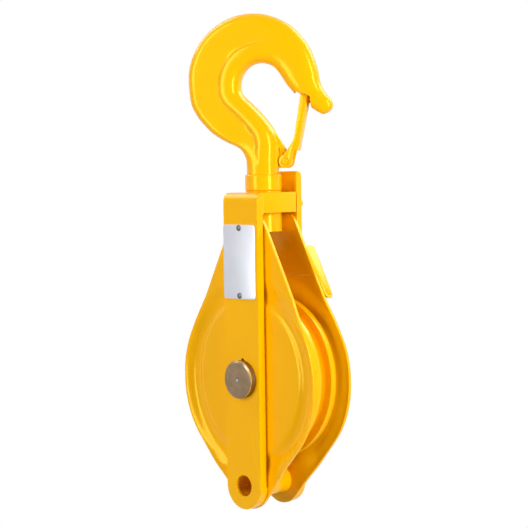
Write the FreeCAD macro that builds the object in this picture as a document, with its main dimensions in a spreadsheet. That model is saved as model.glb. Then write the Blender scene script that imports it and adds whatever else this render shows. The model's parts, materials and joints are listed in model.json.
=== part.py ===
"""Swivel-hook pulley block with one rope wheel and a rear side that opens, in millimetres.

+X runs across the straps, +Y from the name plate's side to the gate's side, and +Z up.
The origin is the centre of the hook's bowl, where the block hangs. The block below the hook is drawn
about its own centre, the middle of the axle, and is set down from the origin by axle_drop.
"""
import FreeCAD, Part
import math
import os
import re
import Sketcher

os.makedirs("parts", exist_ok=True)
doc = FreeCAD.newDocument("hook_pulley_block")
Vector = FreeCAD.Vector
WHOLE_TURN = 360

# Driving dimensions
SIZES = [
    # overall layout
    ("half_gap", 20.3),  # mid-plane to the inner face of either strap
    ("fixed_fit", 0.02),  # radial room of a pressed or driven pin
    ("running_fit", 0.05),  # radial room of a turning fit
    ("side_room", 0.3),  # room between faces that pass each other
    ("seat_room", 0.03),  # room between a pressed sheet and what it is welded on
    ("edge_round", 1),  # rounding of turned edges
    # straps and crosshead
    ("bar_width", 40),
    ("strap_thick", 8),
    ("rear_thick", 6),
    ("tail_drop", 91),  # axle down to the tail eye
    ("tail_bore", 9),
    ("spacer_round", 11.4),
    ("head_top", 157),
    ("head_thick", 17),
    ("head_back", 19),
    ("head_corner", 7),
    # cheeks
    ("cheek_thick", 3),
    ("cheek_round", 77.4),
    ("cheek_sag", 4),  # the lower half's round sits this much below the axle
    ("cheek_slope", 27),  # degrees of the upper edges from upright
    ("cheek_top", 138),
    ("cheek_corner", 9),
    ("lobe_round", 21),
    ("seam_height", 86.5),
    ("seam_room", 0.35),
    ("disc_round", 57),  # raised middle
    ("disc_edge", 63),
    ("valley_end", 67),
    ("valley_rim", 77),
    ("valley_depth", 1.8),
    ("disc_stretch", 1.12),  # the raised middle is a little taller than wide
    ("seat_edge", 1),  # flat round the tail spacer's end
    ("lip_rise", 2.8),
    ("lip_start", 66),
    ("lip_top", 42),  # above the axle, where the lip begins to fade
    ("lip_low", 72),  # below the axle, where it begins to fade
    ("lip_fade", 30),
    ("press_grid", 3.5),  # spacing of the places that the pressed sheet passes through
    # axle and what holds it
    ("axle_round", 16.1),
    ("axle_proud", 6.3),
    ("axle_tail", 6),
    ("axle_chamfer", 0.6),
    ("centre_mark", 1.8),
    ("dowel_round", 1.6),
    ("dowel_angle", 88),
    ("dowel_sunk", 2),
    ("dowel_deep", 6),
    ("ring_thick", 1.5),
    ("ring_round", 19),
    ("ring_seat", 14.9),
    ("ring_opening", 5),
    ("nipple_round", 3.2),
    ("nipple_proud", 5),
    ("nipple_seat", 7),
    ("oil_bore", 1.6),
    # rope wheel
    ("sheave_round", 70.5),
    ("rim_half", 12.2),
    ("rim_edge", 2.8),
    ("groove_round", 7),
    ("groove_centre", 61.5),
    ("rim_inner", 50),
    ("web_half", 4),
    ("hub_round", 27),
    ("hub_half", 14.4),
    ("bush_wall", 3.2),
    ("washer_round", 26),
    # swivel
    ("shank_round", 13.4),
    ("stem_round", 10),
    ("collar_round", 15.5),
    ("collar_tall", 13.8),
    ("thrust_thick", 1.1),
    ("nut_round", 15.4),
    ("nut_tall", 16),
    ("nut_pin", 2),
    # hook
    ("hook_lift", 90.2),  # crosshead's top up to the bowl's centre
    ("hook_turn", 27),  # degrees that the hook is swivelled from the straps' width
    ("bowl_round", 18.9),
    ("bow_round", 57.5),  # outer bow
    ("bow_back", 8.4),
    ("bow_up", 3.8),
    ("latch_reach", 21.2),  # shank axis to the latch's rivet
    ("latch_drop", 64.3),  # bowl centre down to the rivet
    ("lug_round", 5.5),
    ("lug_half", 2.7),
    ("rib_in", 11.5),  # rivet to the top of the lug's rib, towards the shank
    ("rib_up", 28.3),
    # latch
    ("latch_width", 10.4),
    ("latch_sheet", 1.5),
    ("latch_top", 9.6),  # bowl centre down to the latch's end
    ("latch_lean", 41),  # shank axis to the latch's back at its end
    ("latch_deep", 6),
    ("notch_room", 3.5),  # between the latch's back and the notch's wall
    ("notch_over", 1),  # between the latch's end and the notch's roof
    ("ear_round", 5.6),
    ("foot_out", 10.1),  # rivet to the lower end of the latch's back
    ("foot_up", 8.8),
    ("foot_step", 3.4),  # the back's face to the ears' outer edge there
    ("bend_out", 7.8),  # rivet to the bend in the ears' inner edge
    ("bend_up", 18.5),
    ("bend_round", 12),
    ("ear_meet", 101),  # degrees round the ear to the foot of that edge
    ("rivet_round", 2),
    ("rivet_head", 3),
    ("spring_wire", 0.4),
    ("spring_coil", 3.6),
    # gate
    ("bar_thick", 6),
    ("bar_over", 17.6),  # how far the gate bar stands over the crosshead
    ("bar_corner", 5),
    ("bar_low", 90),
    ("slot_half_wide", 14.2),
    ("slot_half_tall", 5.4),
    ("ear_top", 111),
    ("ear_deep", 9.4),
    ("hinge_height", 72),
    ("hinge_out", 25.1),
    ("hinge_boss", 4.7),
    ("hinge_pin_round", 2.5),
    ("tube_round", 4.5),
    # turn button
    ("stud_below", 10),  # crosshead's top down to the stud
    ("stud_round", 4),
    ("stud_neck", 3),
    ("stud_hold", 9),
    ("stud_head", 4.6),
    ("button_half", 13),
    ("button_half_tall", 3.25),
    ("button_thick", 8.2),
    ("button_washer", 1),
    # name plate
    ("plate_thick", 0.8),
    ("plate_wide", 37.4),
    ("plate_tall", 62.6),
    ("plate_side", -1.2),
    ("plate_height", 99),
    ("plate_corner", 2.5),
    ("plate_rivet", 1.4),
    ("plate_rivet_head", 2.5),
    ("plate_rivet_inset", 2.7),
]

# Dimensions that follow from them
FOLLOWING = [
    ("axle_drop", "=head_top + hook_lift"),  # bowl centre down to the axle
    ("stud_height", "=head_top - stud_below"),
    ("bar_top", "=head_top + bar_over"),
]

sizes = doc.addObject("Spreadsheet::Sheet", "Sizes")
NAMES = set()
for row, (alias, amount) in enumerate(SIZES + FOLLOWING, start=1):
    sizes.set("A%d" % row, alias)
    sizes.set("B%d" % row, str(amount))
    sizes.setAlias("B%d" % row, alias)
    NAMES.add(alias)
doc.recompute()


def bound(expression):
    """The expression with each size's name pointed at the sheet."""
    return re.sub(r"[a-z]\w*", lambda word: ("Sizes." if word.group() in NAMES else "") + word.group(), str(expression))


def number(expression):
    """What an expression of the sheet's names comes to now."""
    return float(sizes.evalExpression(bound(expression)))


FAR = number("2 * axle_drop")  # longer than any piece


# Helpers for bodies
def body(name, hook=False):
    """A body set down with the block, or turned with the hook about the shank's axis."""
    made = doc.addObject("PartDesign::Body", name)
    made.Label = name
    if hook:
        made.Placement = FreeCAD.Placement(Vector(0, 0, 0), FreeCAD.Rotation(Vector(0, 0, 1), number("hook_turn")))
        made.setExpression("Placement.Rotation.Angle", bound("hook_turn"))
    else:
        made.setExpression("Placement.Base.z", bound("-axle_drop"))
    return made


def sketch(owner, plane, offset):
    """A sketch on one of the body's own planes, moved along that plane's normal."""
    made = owner.newObject("Sketcher::SketchObject", owner.Label + "_sketch")
    support = [feature for feature in owner.Origin.OriginFeatures if feature.Role == plane + "_Plane"][0]
    made.AttachmentSupport = [(support, "")]
    made.MapMode = "FlatFace"
    made.setExpression("AttachmentOffset.Base.z", bound(offset))
    return made


def place_point(drawn, geometry, end, across, up):
    """Tie one point of the sketch to two expressions."""
    for kind, expression in (("DistanceX", across), ("DistanceY", up)):
        amount = number(expression)
        index = drawn.addConstraint(Sketcher.Constraint(kind, -1, 1, geometry, end, amount))
        drawn.setExpression("Constraints[%d]" % index, bound(expression))


def draw(drawn, polygons, circles):
    for points in polygons:
        corners = [Vector(number(across), number(up), 0) for across, up in points]
        first = drawn.GeometryCount
        count = len(points)
        for index in range(count):
            drawn.addGeometry(Part.LineSegment(corners[index], corners[(index + 1) % count]), False)
        for index in range(count):
            drawn.addConstraint(Sketcher.Constraint("Coincident", first + index, 2, first + (index + 1) % count, 1))
        for index, (across, up) in enumerate(points):
            place_point(drawn, first + index, 1, across, up)
    for across, up, radius in circles:
        centre = Vector(number(across), number(up), 0)
        geometry = drawn.addGeometry(Part.Circle(centre, Vector(0, 0, 1), number(radius)), False)
        index = drawn.addConstraint(Sketcher.Constraint("Radius", geometry, number(radius)))
        drawn.setExpression("Constraints[%d]" % index, bound(radius))
        place_point(drawn, geometry, 3, across, up)


def slab(owner, plane, low, high, polygons=(), circles=(), cut=False):
    """Add, or cut, the outlines between two places along the plane's normal (+Z, +X, or +Y for the XZ plane)."""
    before = owner.Shape.Volume if cut else 0
    start = "-(%s)" % high if plane == "XZ" else low
    drawn = sketch(owner, plane, start)
    draw(drawn, polygons, circles)
    feature = owner.newObject("PartDesign::Pocket" if cut else "PartDesign::Pad", owner.Label + "_step")
    feature.Profile = drawn
    feature.Reversed = cut
    feature.setExpression("Length", bound("(%s) - (%s)" % (high, low)))
    doc.recompute()
    if cut and not owner.Shape.Volume < before - 1e-6:
        raise RuntimeError(owner.Label + ": a pocket cuts nothing")
    return feature


def turned(owner, plane, points):
    """Turn an outline of (radius, place along the axis) a whole turn about the plane's upright axis."""
    drawn = sketch(owner, plane, "0")
    draw(drawn, [points], [])
    feature = owner.newObject("PartDesign::Revolution", owner.Label + "_turned")
    feature.Profile = drawn
    feature.ReferenceAxis = (drawn, ["V_Axis"])
    feature.Angle = WHOLE_TURN
    doc.recompute()
    return feature


def soften(owner, radius, chosen, chamfer=False):
    """Fillet or chamfer the edges for which chosen(edge) is true."""
    doc.recompute()
    base = owner.Tip
    names = ["Edge%d" % (index + 1) for index, edge in enumerate(base.Shape.Edges) if chosen(edge)]
    if not names:
        raise RuntimeError(owner.Label + ": no edge to soften")
    feature = owner.newObject("PartDesign::Chamfer" if chamfer else "PartDesign::Fillet", owner.Label + "_edge")
    feature.Base = (base, names)
    feature.setExpression("Size" if chamfer else "Radius", bound(radius))
    doc.recompute()
    return feature


def near(amount, expression):
    return abs(amount - number(expression)) < 1e-4


def box_of(edge):
    return edge.BoundBox


def shaped(name, shape, hook=False):
    """A piece whose form neither a body nor a primitive fits."""
    made = doc.addObject("Part::Feature", name)
    made.Label = name
    made.Shape = shape
    if hook:
        made.Placement = FreeCAD.Placement(Vector(0, 0, 0), FreeCAD.Rotation(Vector(0, 0, 1), number("hook_turn")))
    else:
        made.Placement = FreeCAD.Placement(Vector(0, 0, -number("axle_drop")), FreeCAD.Rotation())
    return made


def one_solid(shape, name):
    if len(shape.Solids) != 1:
        raise RuntimeError("%s is %d solids" % (name, len(shape.Solids)))
    return shape.Solids[0]


def rectangle(left, right, low, high):
    return [(left, low), (right, low), (right, high), (left, high)]


BAR = ("-bar_width / 2", "bar_width / 2")
FRONT_OUT = "-(half_gap + strap_thick)"
REAR_OUT = "half_gap + rear_thick"


# Front strap: flat bar with a round lobe round the tail eye
def front_strap():
    made = body("front_strap")
    faces = (FRONT_OUT, "-half_gap")
    slab(made, "XZ", *faces, polygons=[rectangle(*BAR, "-tail_drop", "head_top")])
    slab(made, "XZ", *faces, circles=[("0", "-tail_drop", "bar_width / 2")])
    slab(made, "XZ", *faces, circles=[("0", "0", "axle_round + fixed_fit")], cut=True)
    slab(made, "XZ", *faces, circles=[("0", "-tail_drop", "tail_bore")], cut=True)
    slab(made, "XZ", FRONT_OUT, FRONT_OUT + " + dowel_deep", circles=[(*DOWEL, "dowel_round")], cut=True)
    holes = [(*spot, "plate_rivet + fixed_fit") for spot in PLATE_RIVETS]
    slab(made, "XZ", FRONT_OUT, FRONT_OUT + " + strap_thick / 2", circles=holes, cut=True)
    soften(made, "head_corner", lambda e: near(box_of(e).ZMin, "head_top") and near(box_of(e).YMax, FRONT_OUT))
    return made


DOWEL = ("axle_round * cos(dowel_angle * 1 deg)", "axle_round * sin(dowel_angle * 1 deg)")
PLATE_RIVETS = [("plate_side", "plate_height %s (plate_tall / 2 - plate_rivet_inset)" % sign) for sign in "+-"]


# Crosshead: block that the shank passes through
def crosshead():
    made = body("crosshead")
    outline = rectangle(*BAR, "-half_gap", "head_back")
    slab(made, "XY", "head_top - head_thick", "head_top", polygons=[outline])
    slab(made, "XY", "head_top - head_thick", "head_top", circles=[("0", "0", "stem_round + running_fit")], cut=True)
    stud = [("0", "stud_height", "stud_round + fixed_fit")]
    slab(made, "XZ", "head_back - stud_hold", "head_back", circles=stud, cut=True)
    return made


# Rear strap: carries the axle's far end and the hinge tube
def rear_strap():
    made = body("rear_strap")
    faces = ("half_gap", REAR_OUT)
    slab(made, "XZ", *faces, polygons=[rectangle(*BAR, "-tail_drop", "hinge_height - tube_round / 2")])
    slab(made, "XZ", *faces, circles=[("0", "-tail_drop", "bar_width / 2")])
    slab(made, "XZ", *faces, circles=[("0", "0", "axle_round + fixed_fit")], cut=True)
    slab(made, "XZ", *faces, circles=[("0", "-tail_drop", "tail_bore")], cut=True)
    slab(made, "YZ", *BAR, circles=[("hinge_out", "hinge_height", "tube_round")], cut=True)
    return made


TUBE_HALF = "(cheek_round - (hinge_height + hinge_boss) * sin(cheek_slope * 1 deg) - cheek_thick) / cos(cheek_slope * 1 deg) - side_room"


def hinge_tube():
    made = body("hinge_tube")
    ends = ("-(%s)" % TUBE_HALF, TUBE_HALF)
    outer = ("hinge_out", "hinge_height", "tube_round")
    inner = ("hinge_out", "hinge_height", "hinge_pin_round + running_fit")
    slab(made, "YZ", *ends, circles=[outer, inner])
    return made


def hinge_pin():
    made = body("hinge_pin")
    reach = "(cheek_round - hinge_height * sin(cheek_slope * 1 deg)) / cos(cheek_slope * 1 deg)"
    slab(made, "YZ", "-(%s)" % reach, reach, circles=[("hinge_out", "hinge_height", "hinge_pin_round")])
    return made


def tail_spacer():
    made = body("tail_spacer")
    faces = ("-(half_gap - cheek_thick)", "half_gap - cheek_thick")
    rings = [("0", "-tail_drop", "spacer_round"), ("0", "-tail_drop", "tail_bore")]
    slab(made, "XZ", *faces, circles=rings)
    return made


# Cheeks: pressed plates, a raised middle, a ring valley round it and a flared rim at the sides
def step(low, high, amount):
    """0 below low, 1 above high, and smooth between."""
    share = min(max((amount - low) / (high - low), 0), 1)
    return share * share * (3 - 2 * share)


def lower_slope():
    """Angle, in radians, between the cheek's lower edges and the upright."""
    return math.asin((number("cheek_round") - number("lobe_round")) / (number("tail_drop") - number("cheek_sag")))


def edge_reach(x, z):
    """How far out a point lies, on a scale that is cheek_round on the cheek's edge."""
    upper = math.radians(number("cheek_slope"))
    lower = lower_slope()
    sunk = -(z + number("cheek_sag"))
    if z > 0:
        return max(math.hypot(x, z), abs(x) * math.cos(upper) + z * math.sin(upper))
    if sunk > 0:
        return max(math.hypot(x, sunk), abs(x) * math.cos(lower) + sunk * math.sin(lower))
    return abs(x)


def cheek_rise(x, z):
    """How far the cheek's outer face stands out from its flat parts."""
    reach = math.hypot(x, z / number("disc_stretch"))
    falls = step(number("disc_round"), number("disc_edge"), reach)
    rises = step(number("valley_end"), number("valley_rim"), reach)
    spacer = number("spacer_round")
    seat = step(spacer + number("seat_edge"), 2 * spacer, math.hypot(x, z + number("tail_drop")))
    half = number("bar_width") / 2
    start = number("lip_top") if z > 0 else number("lip_low")
    side = step(half * 1.1, half * 2.1, abs(x)) * (1 - step(start, start + number("lip_fade"), abs(z)))
    lip = number("lip_rise") * side * step(number("lip_start"), number("cheek_round"), edge_reach(x, z))
    return lip - number("valley_depth") * seat * (falls - rises)


def cheek_outline():
    """The cheek's flat outline in the XZ plane, from the top corner round."""
    slope = math.radians(number("cheek_slope"))
    big = number("cheek_round")
    lobe = number("lobe_round")
    drop = number("tail_drop")
    top = number("cheek_top")
    corner = number("cheek_corner")
    sag = number("cheek_sag")
    lower = lower_slope()

    def on(centre, radius, angle):
        return Vector(radius * math.cos(angle), 0, centre + radius * math.sin(angle))

    centre = (big - corner - (top - corner) * math.sin(slope)) / math.cos(slope)
    right = [
        Vector(centre, 0, top),
        Vector(centre + corner * math.sin(math.pi / 4 + slope / 2), 0, top - corner + corner * math.cos(math.pi / 4 + slope / 2)),
        Vector(centre + corner * math.cos(slope), 0, top - corner + corner * math.sin(slope)),
        on(0, big, slope),
        on(0, big, slope / 2),
        on(0, big, 0),
        on(-sag, big, 0),
        on(-sag, big, -lower / 2),
        on(-sag, big, -lower),
        on(-drop, lobe, -lower),
    ]
    left = [Vector(-point.x, 0, point.z) for point in right]
    bottom = Vector(0, 0, -drop - lobe)
    edges = [
        Part.LineSegment(left[0], right[0]),
        Part.Arc(right[0], right[1], right[2]),
        Part.LineSegment(right[2], right[3]),
        Part.Arc(right[3], right[4], right[5]),
        Part.LineSegment(right[5], right[6]),
        Part.Arc(right[6], right[7], right[8]),
        Part.LineSegment(right[8], right[9]),
        Part.Arc(right[9], bottom, left[9]),
        Part.LineSegment(left[9], left[8]),
        Part.Arc(left[8], left[7], left[6]),
        Part.LineSegment(left[6], left[5]),
        Part.Arc(left[5], left[4], left[3]),
        Part.LineSegment(left[3], left[2]),
        Part.Arc(left[2], left[1], left[0]),
    ]
    return Part.Wire([edge.toShape() for edge in edges])


def between(outline, low, high):
    """The outline as a solid from one place on Y to another."""
    face = Part.Face(outline)
    face.translate(Vector(0, low, 0))
    return face.extrude(Vector(0, high - low, 0))


def round_bar(radius, low, high, height=0.0):
    """A cylinder along Y."""
    return Part.makeCylinder(radius, high - low, Vector(0, low, height), Vector(0, 1, 0))


def strips(surface):
    """The surface in patches, so that no face has too many waves."""
    first, last, low, high = surface.bounds()
    found = []
    for column in range(2):
        for row in range(4):
            patch = surface.copy()
            patch.segment(
                first + (last - first) * column / 2,
                first + (last - first) * (column + 1) / 2,
                low + (high - low) * row / 4,
                low + (high - low) * (row + 1) / 4,
            )
            found.append(patch.toShape())
    return found


def pressed_sheet(side):
    """The pressed cheek's patches before trimming: side is -1 for the front cheek and 1 for the rear one."""
    wide = number("cheek_round") + 6
    low = -(number("tail_drop") + number("lobe_round") + 5)
    high = number("cheek_top") + 5
    across = round(2 * wide / number("press_grid"))
    up = round((high - low) / number("press_grid"))
    flat = number("half_gap - seat_room")
    grid = []
    for column in range(across + 1):
        x = -wide + 2 * wide * column / across
        line = []
        for place in range(up + 1):
            z = low + (high - low) * place / up
            line.append(Vector(x, side * (flat + cheek_rise(x, z)), z))
        grid.append(line)
    surface = Part.BSplineSurface()
    surface.interpolate(grid)
    thick = Vector(0, -side * number("cheek_thick - 2 * seat_room"), 0)
    return [patch.extrude(thick) for patch in strips(surface)]


def cheek(name, side):
    gap = number("half_gap")
    reach = gap + number("lip_rise") + 5
    outline = cheek_outline()
    prism = between(outline, -reach, 0) if side < 0 else between(outline, 0, reach)
    if side > 0:
        top = number("seam_height - seam_room")
        keep = Part.makeBox(FAR, 2 * reach, FAR, Vector(-FAR / 2, -reach, top - FAR))
        prism = prism.common(keep)
    parts = [patch.common(prism) for patch in pressed_sheet(side)]
    parts = [found for found in parts if found.Volume > 1]
    plate = parts[0].fuse(parts[1:])
    plate = plate.cut(round_bar(number("axle_round + fixed_fit"), -reach, reach))
    plate = plate.cut(round_bar(number("tail_bore"), -reach, reach, -number("tail_drop")))
    return shaped(name, one_solid(plate, name))


# Gate: the upper rear plate with its two bent ears, and the bar welded on it
def gate_plate():
    gap = number("half_gap")
    thick = number("cheek_thick")
    slope = math.radians(number("cheek_slope"))
    seam = number("seam_height")
    upper = Part.makeBox(FAR, FAR, FAR, Vector(-FAR / 2, -FAR / 2, seam))
    plate = between(cheek_outline(), gap - thick, gap).common(upper)
    out = number("hinge_out")
    boss = number("hinge_boss")
    level = number("hinge_height")
    clear = out - boss
    tip = gap + number("ear_deep")
    high = number("ear_top")
    side = Part.makePolygon([Vector(-200, y, z) for y, z in [
        (gap - thick, seam), (gap - thick, high), (tip, high), (out + boss, level), (clear, level), (clear, seam), (gap - thick, seam)
    ]])
    profile = Part.Face(side).extrude(Vector(FAR, 0, 0))
    profile = profile.fuse(Part.makeCylinder(boss, FAR, Vector(-FAR / 2, out, level), Vector(1, 0, 0)))
    shape = plate
    for hand in (1, -1):
        normal = Vector(hand * math.cos(slope), 0, math.sin(slope))
        outer = Part.makeBox(FAR, FAR, thick, Vector(-FAR / 2, -FAR / 2, number("cheek_round") - thick))
        turn = FreeCAD.Rotation(Vector(0, 0, 1), normal)
        outer.Placement = FreeCAD.Placement(Vector(0, 0, 0), turn)
        ear = profile.common(outer)
        shape = shape.fuse(ear)
    hole = Part.makeCylinder(number("hinge_pin_round + fixed_fit"), FAR, Vector(-FAR / 2, out, level), Vector(1, 0, 0))
    return shaped("gate_plate", one_solid(shape.cut(hole).removeSplitter(), "gate_plate"))


def gate_bar():
    made = body("gate_bar")
    faces = ("half_gap", "half_gap + bar_thick")
    slab(made, "XZ", *faces, polygons=[rectangle(*BAR, "bar_low", "bar_top")])
    slot = rectangle("-slot_half_wide", "slot_half_wide", "stud_height - slot_half_tall", "stud_height + slot_half_tall")
    slab(made, "XZ", *faces, polygons=[slot], cut=True)
    outer = "half_gap + bar_thick"
    soften(made, "bar_corner", lambda e: near(box_of(e).ZMin, "bar_top") and near(box_of(e).YMin, outer))
    return made


# Stud, turn button and washer that lock the gate
BUTTON_START = "half_gap + bar_thick + side_room"
BUTTON_END = BUTTON_START + " + side_room + button_thick"
WASHER_END = BUTTON_END + " + side_room / 3 + button_washer"


def keeper_stud():
    made = body("keeper_stud")
    slab(made, "XZ", "head_back - stud_hold", BUTTON_START, circles=[("0", "stud_height", "stud_round")])
    slab(made, "XZ", BUTTON_START, WASHER_END, circles=[("0", "stud_height", "stud_neck")])
    slab(made, "XZ", WASHER_END, WASHER_END + " + stud_neck / 2", circles=[("0", "stud_height", "stud_head")])
    last = WASHER_END + " + stud_neck / 2"
    soften(made, "stud_neck / 3", lambda e: near(box_of(e).YMin, last), chamfer=True)
    return made


def keeper_washer():
    made = body("keeper_washer")
    rings = [("0", "stud_height", "stud_neck + fixed_fit + stud_neck"), ("0", "stud_height", "stud_neck + fixed_fit")]
    slab(made, "XZ", WASHER_END + " - button_washer", WASHER_END, circles=rings)
    return made


def keeper_button():
    made = body("keeper_button")
    faces = (BUTTON_START + " + side_room / 3", BUTTON_END + " - side_room / 3")
    flat = "button_half - button_half_tall"
    outline = rectangle("-(%s)" % flat, flat, "stud_height - button_half_tall", "stud_height + button_half_tall")
    slab(made, "XZ", *faces, polygons=[outline])
    for sign in ("-", ""):
        slab(made, "XZ", *faces, circles=[("%s(%s)" % (sign, flat), "stud_height", "button_half_tall")])
    slab(made, "XZ", *faces, circles=[("0", "stud_height", "stud_neck + running_fit")], cut=True)
    return made


# Axle and what locks and greases it
AXLE_FACE = FRONT_OUT + " - axle_proud"
AXLE_BACK = REAR_OUT + " + axle_tail"
RING_START = REAR_OUT + " + side_room"


def axle_pin():
    made = body("axle_pin")
    turned(made, "XY", [
        ("0", AXLE_FACE + " + centre_mark"),
        ("centre_mark", AXLE_FACE),
        ("axle_round - axle_chamfer", AXLE_FACE),
        ("axle_round", AXLE_FACE + " + axle_chamfer"),
        ("axle_round", RING_START),
        ("ring_seat", RING_START),
        ("ring_seat", RING_START + " + ring_thick + side_room / 3"),
        ("axle_round", RING_START + " + ring_thick + side_room / 3"),
        ("axle_round", AXLE_BACK + " - axle_chamfer"),
        ("axle_round - axle_chamfer", AXLE_BACK),
        ("nipple_round + fixed_fit", AXLE_BACK),
        ("nipple_round + fixed_fit", AXLE_BACK + " - nipple_seat"),
        ("oil_bore", AXLE_BACK + " - nipple_seat"),
        ("oil_bore", "-2 * oil_bore"),
        ("0", "-2 * oil_bore"),
    ])
    slab(made, "XY", "0", "axle_round + 1", circles=[("0", "0", "oil_bore * 0.7")], cut=True)
    slab(made, "XZ", AXLE_FACE, FRONT_OUT + " + dowel_deep", circles=[(*DOWEL, "dowel_round")], cut=True)
    return made


def axle_dowel():
    made = body("axle_dowel")
    faces = (FRONT_OUT + " + dowel_sunk", FRONT_OUT + " + dowel_deep")
    slab(made, "XZ", *faces, circles=[(*DOWEL, "dowel_round - fixed_fit")])
    return made


def axle_ring():
    made = body("axle_ring")
    rings = [("0", "0", "ring_round"), ("0", "0", "ring_seat + fixed_fit")]
    faces = (RING_START, RING_START + " + ring_thick")
    slab(made, "XZ", *faces, circles=rings)
    opening = rectangle("-ring_opening / 2", "ring_opening / 2", "-(ring_round + 1)", "-ring_seat / 2")
    slab(made, "XZ", *faces, polygons=[opening], cut=True)
    return made


def grease_nipple():
    made = body("grease_nipple")
    turned(made, "XY", [
        ("0", AXLE_BACK + " - nipple_seat / 2"),
        ("nipple_round", AXLE_BACK + " - nipple_seat / 2"),
        ("nipple_round", AXLE_BACK),
        ("nipple_round * 1.2", AXLE_BACK),
        ("nipple_round * 1.2", AXLE_BACK + " + nipple_proud * 0.4"),
        ("nipple_round * 0.6", AXLE_BACK + " + nipple_proud * 0.5"),
        ("nipple_round * 0.8", AXLE_BACK + " + nipple_proud * 0.75"),
        ("nipple_round * 0.5", AXLE_BACK + " + nipple_proud"),
        ("0", AXLE_BACK + " + nipple_proud"),
    ])
    return made


# Rope wheel, its bush and the thrust washers beside its hub
BUSH_OUT = "axle_round + running_fit + bush_wall"


def sheave():
    made = body("sheave")
    half = [
        ("groove_centre", "-(groove_round)"),
        ("sheave_round", "-(rim_half - rim_edge)"),
        ("sheave_round", "-rim_half"),
        ("rim_inner + web_half", "-rim_half"),
        ("rim_inner", "-web_half"),
        ("hub_round + web_half / 2", "-web_half"),
        ("hub_round", "-(web_half + web_half / 2)"),
        ("hub_round", "-hub_half"),
        (BUSH_OUT, "-hub_half"),
    ]
    other = [(across, up[1:]) for across, up in reversed(half)]
    turned(made, "XY", half + other)
    drawn = sketch(made, "XY", "0")
    draw(drawn, [], [("groove_centre", "0", "groove_round")])
    groove = made.newObject("PartDesign::Groove", "rope_groove")
    groove.Profile = drawn
    groove.ReferenceAxis = (drawn, ["V_Axis"])
    groove.Angle = WHOLE_TURN
    before = made.Shape.Volume
    doc.recompute()
    if not made.Shape.Volume < before:
        raise RuntimeError("the rope groove cuts nothing")
    return made


def sheave_bush():
    made = body("sheave_bush")
    rings = [("0", "0", BUSH_OUT + " - fixed_fit"), ("0", "0", "axle_round + running_fit")]
    slab(made, "XZ", "-hub_half", "hub_half", circles=rings)
    return made


def hub_washer(name, low, high):
    made = body(name)
    slab(made, "XZ", low, high, circles=[("0", "0", "washer_round"), ("0", "0", "axle_round + 2 * running_fit")])
    return made


# Swivel pieces
COLLAR_LOW = "head_top + thrust_thick + side_room / 3"
NUT_TOP = "head_top - head_thick - side_room / 2"
PIN_LEVEL = NUT_TOP + " - nut_tall * 0.62"


def thrust_washer():
    made = body("thrust_washer")
    rings = [("0", "0", "collar_round - side_room"), ("0", "0", "stem_round + 4 * running_fit")]
    slab(made, "XY", "head_top", "head_top + thrust_thick", circles=rings)
    return made


def shank_nut():
    made = body("shank_nut", hook=True)
    top = "%s - axle_drop" % NUT_TOP
    rings = [("0", "0", "nut_round"), ("0", "0", "stem_round + fixed_fit")]
    slab(made, "XY", top + " - nut_tall", top, circles=rings)
    level = "%s - axle_drop" % PIN_LEVEL
    slab(made, "YZ", "-nut_round", "nut_round", circles=[("0", level, "nut_pin + fixed_fit")], cut=True)
    rim = lambda e: e.Length > number("6 * nut_round") and (near(box_of(e).ZMin, top) or near(box_of(e).ZMin, top + " - nut_tall"))
    soften(made, "edge_round", rim, chamfer=True)
    return made


def nut_lock_pin():
    made = body("nut_lock_pin", hook=True)
    level = "%s - axle_drop" % PIN_LEVEL
    slab(made, "YZ", "-(nut_round - side_room)", "nut_round - side_room", circles=[("0", level, "nut_pin")])
    return made


# Hook: forged body lofted through sections, with its collar, stem and latch lug
def bow_point(angle):
    """Where a ray from the bowl's centre meets the outer bow."""
    back = number("bow_back")
    up = number("bow_up")
    cosine = math.cos(angle)
    sine = math.sin(angle)
    along = -back * cosine + up * sine
    left = back * back + up * up - number("bow_round") ** 2
    reach = along + math.sqrt(along * along - left)
    return (reach * cosine, reach * sine)


# Sections of the hook in bow radii: outer point, inner point and thickness
NECK = [
    (-0.2574, -1.0487, 0.2365, -1.0261, 0.4591),
    (-0.353, -0.9183, 0.2435, -0.8696, 0.4435),
    (-0.5652, -0.8174, 0.2, -0.687, 0.4261),
    (-0.7652, -0.6957, 0.0522, -0.4748, 0.4174),
    (-0.9148, -0.5496, -0.1478, -0.2661, 0.4122),
    (-1.0174, -0.4174, -0.2696, -0.1565, 0.407),
]
TIP = [
    (0.8487, 0.24, 0.3878, 0.0104, 0.3391),
    (0.88, 0.073, 0.4991, -0.1183, 0.3217),
    (0.92, -0.0452, 0.6, -0.2122, 0.2957),
    (0.9809, -0.1426, 0.7217, -0.313, 0.2696),
    (1.0504, -0.2191, 0.84, -0.393, 0.2348),
    (1.0817, -0.2991, 0.9304, -0.4365, 0.1739),
    (1.073, -0.3548, 1.0035, -0.4191, 0.0783),
]
ROUND_BOWL = [(190, 0.4), (165, 0.3913), (140, 0.3826), (115, 0.3826), (90, 0.3739), (64, 0.3652), (39, 0.3478)]  # angle and thickness of the sections that point at the bowl's centre


def hook_sections():
    """Outer point, inner point and thickness of each section, from the collar to the tip."""
    shank = number("shank_round")
    foot = number("%s + collar_tall - axle_drop" % COLLAR_LOW)
    bow = number("bow_round")
    bowl = number("bowl_round")
    found = []
    for level in (foot - number("edge_round"), foot + number("collar_tall / 2")):
        found.append(((-shank, level), (shank, level), 2 * shank))
    found += [((bow * a, bow * b), (bow * c, bow * d), bow * thick) for a, b, c, d, thick in NECK]
    for degrees, thick in ROUND_BOWL:
        angle = math.radians(degrees)
        found.append((bow_point(angle), (bowl * math.cos(angle), bowl * math.sin(angle)), bow * thick))
    found += [((bow * a, bow * b), (bow * c, bow * d), bow * thick) for a, b, c, d, thick in TIP]
    return found


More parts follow.
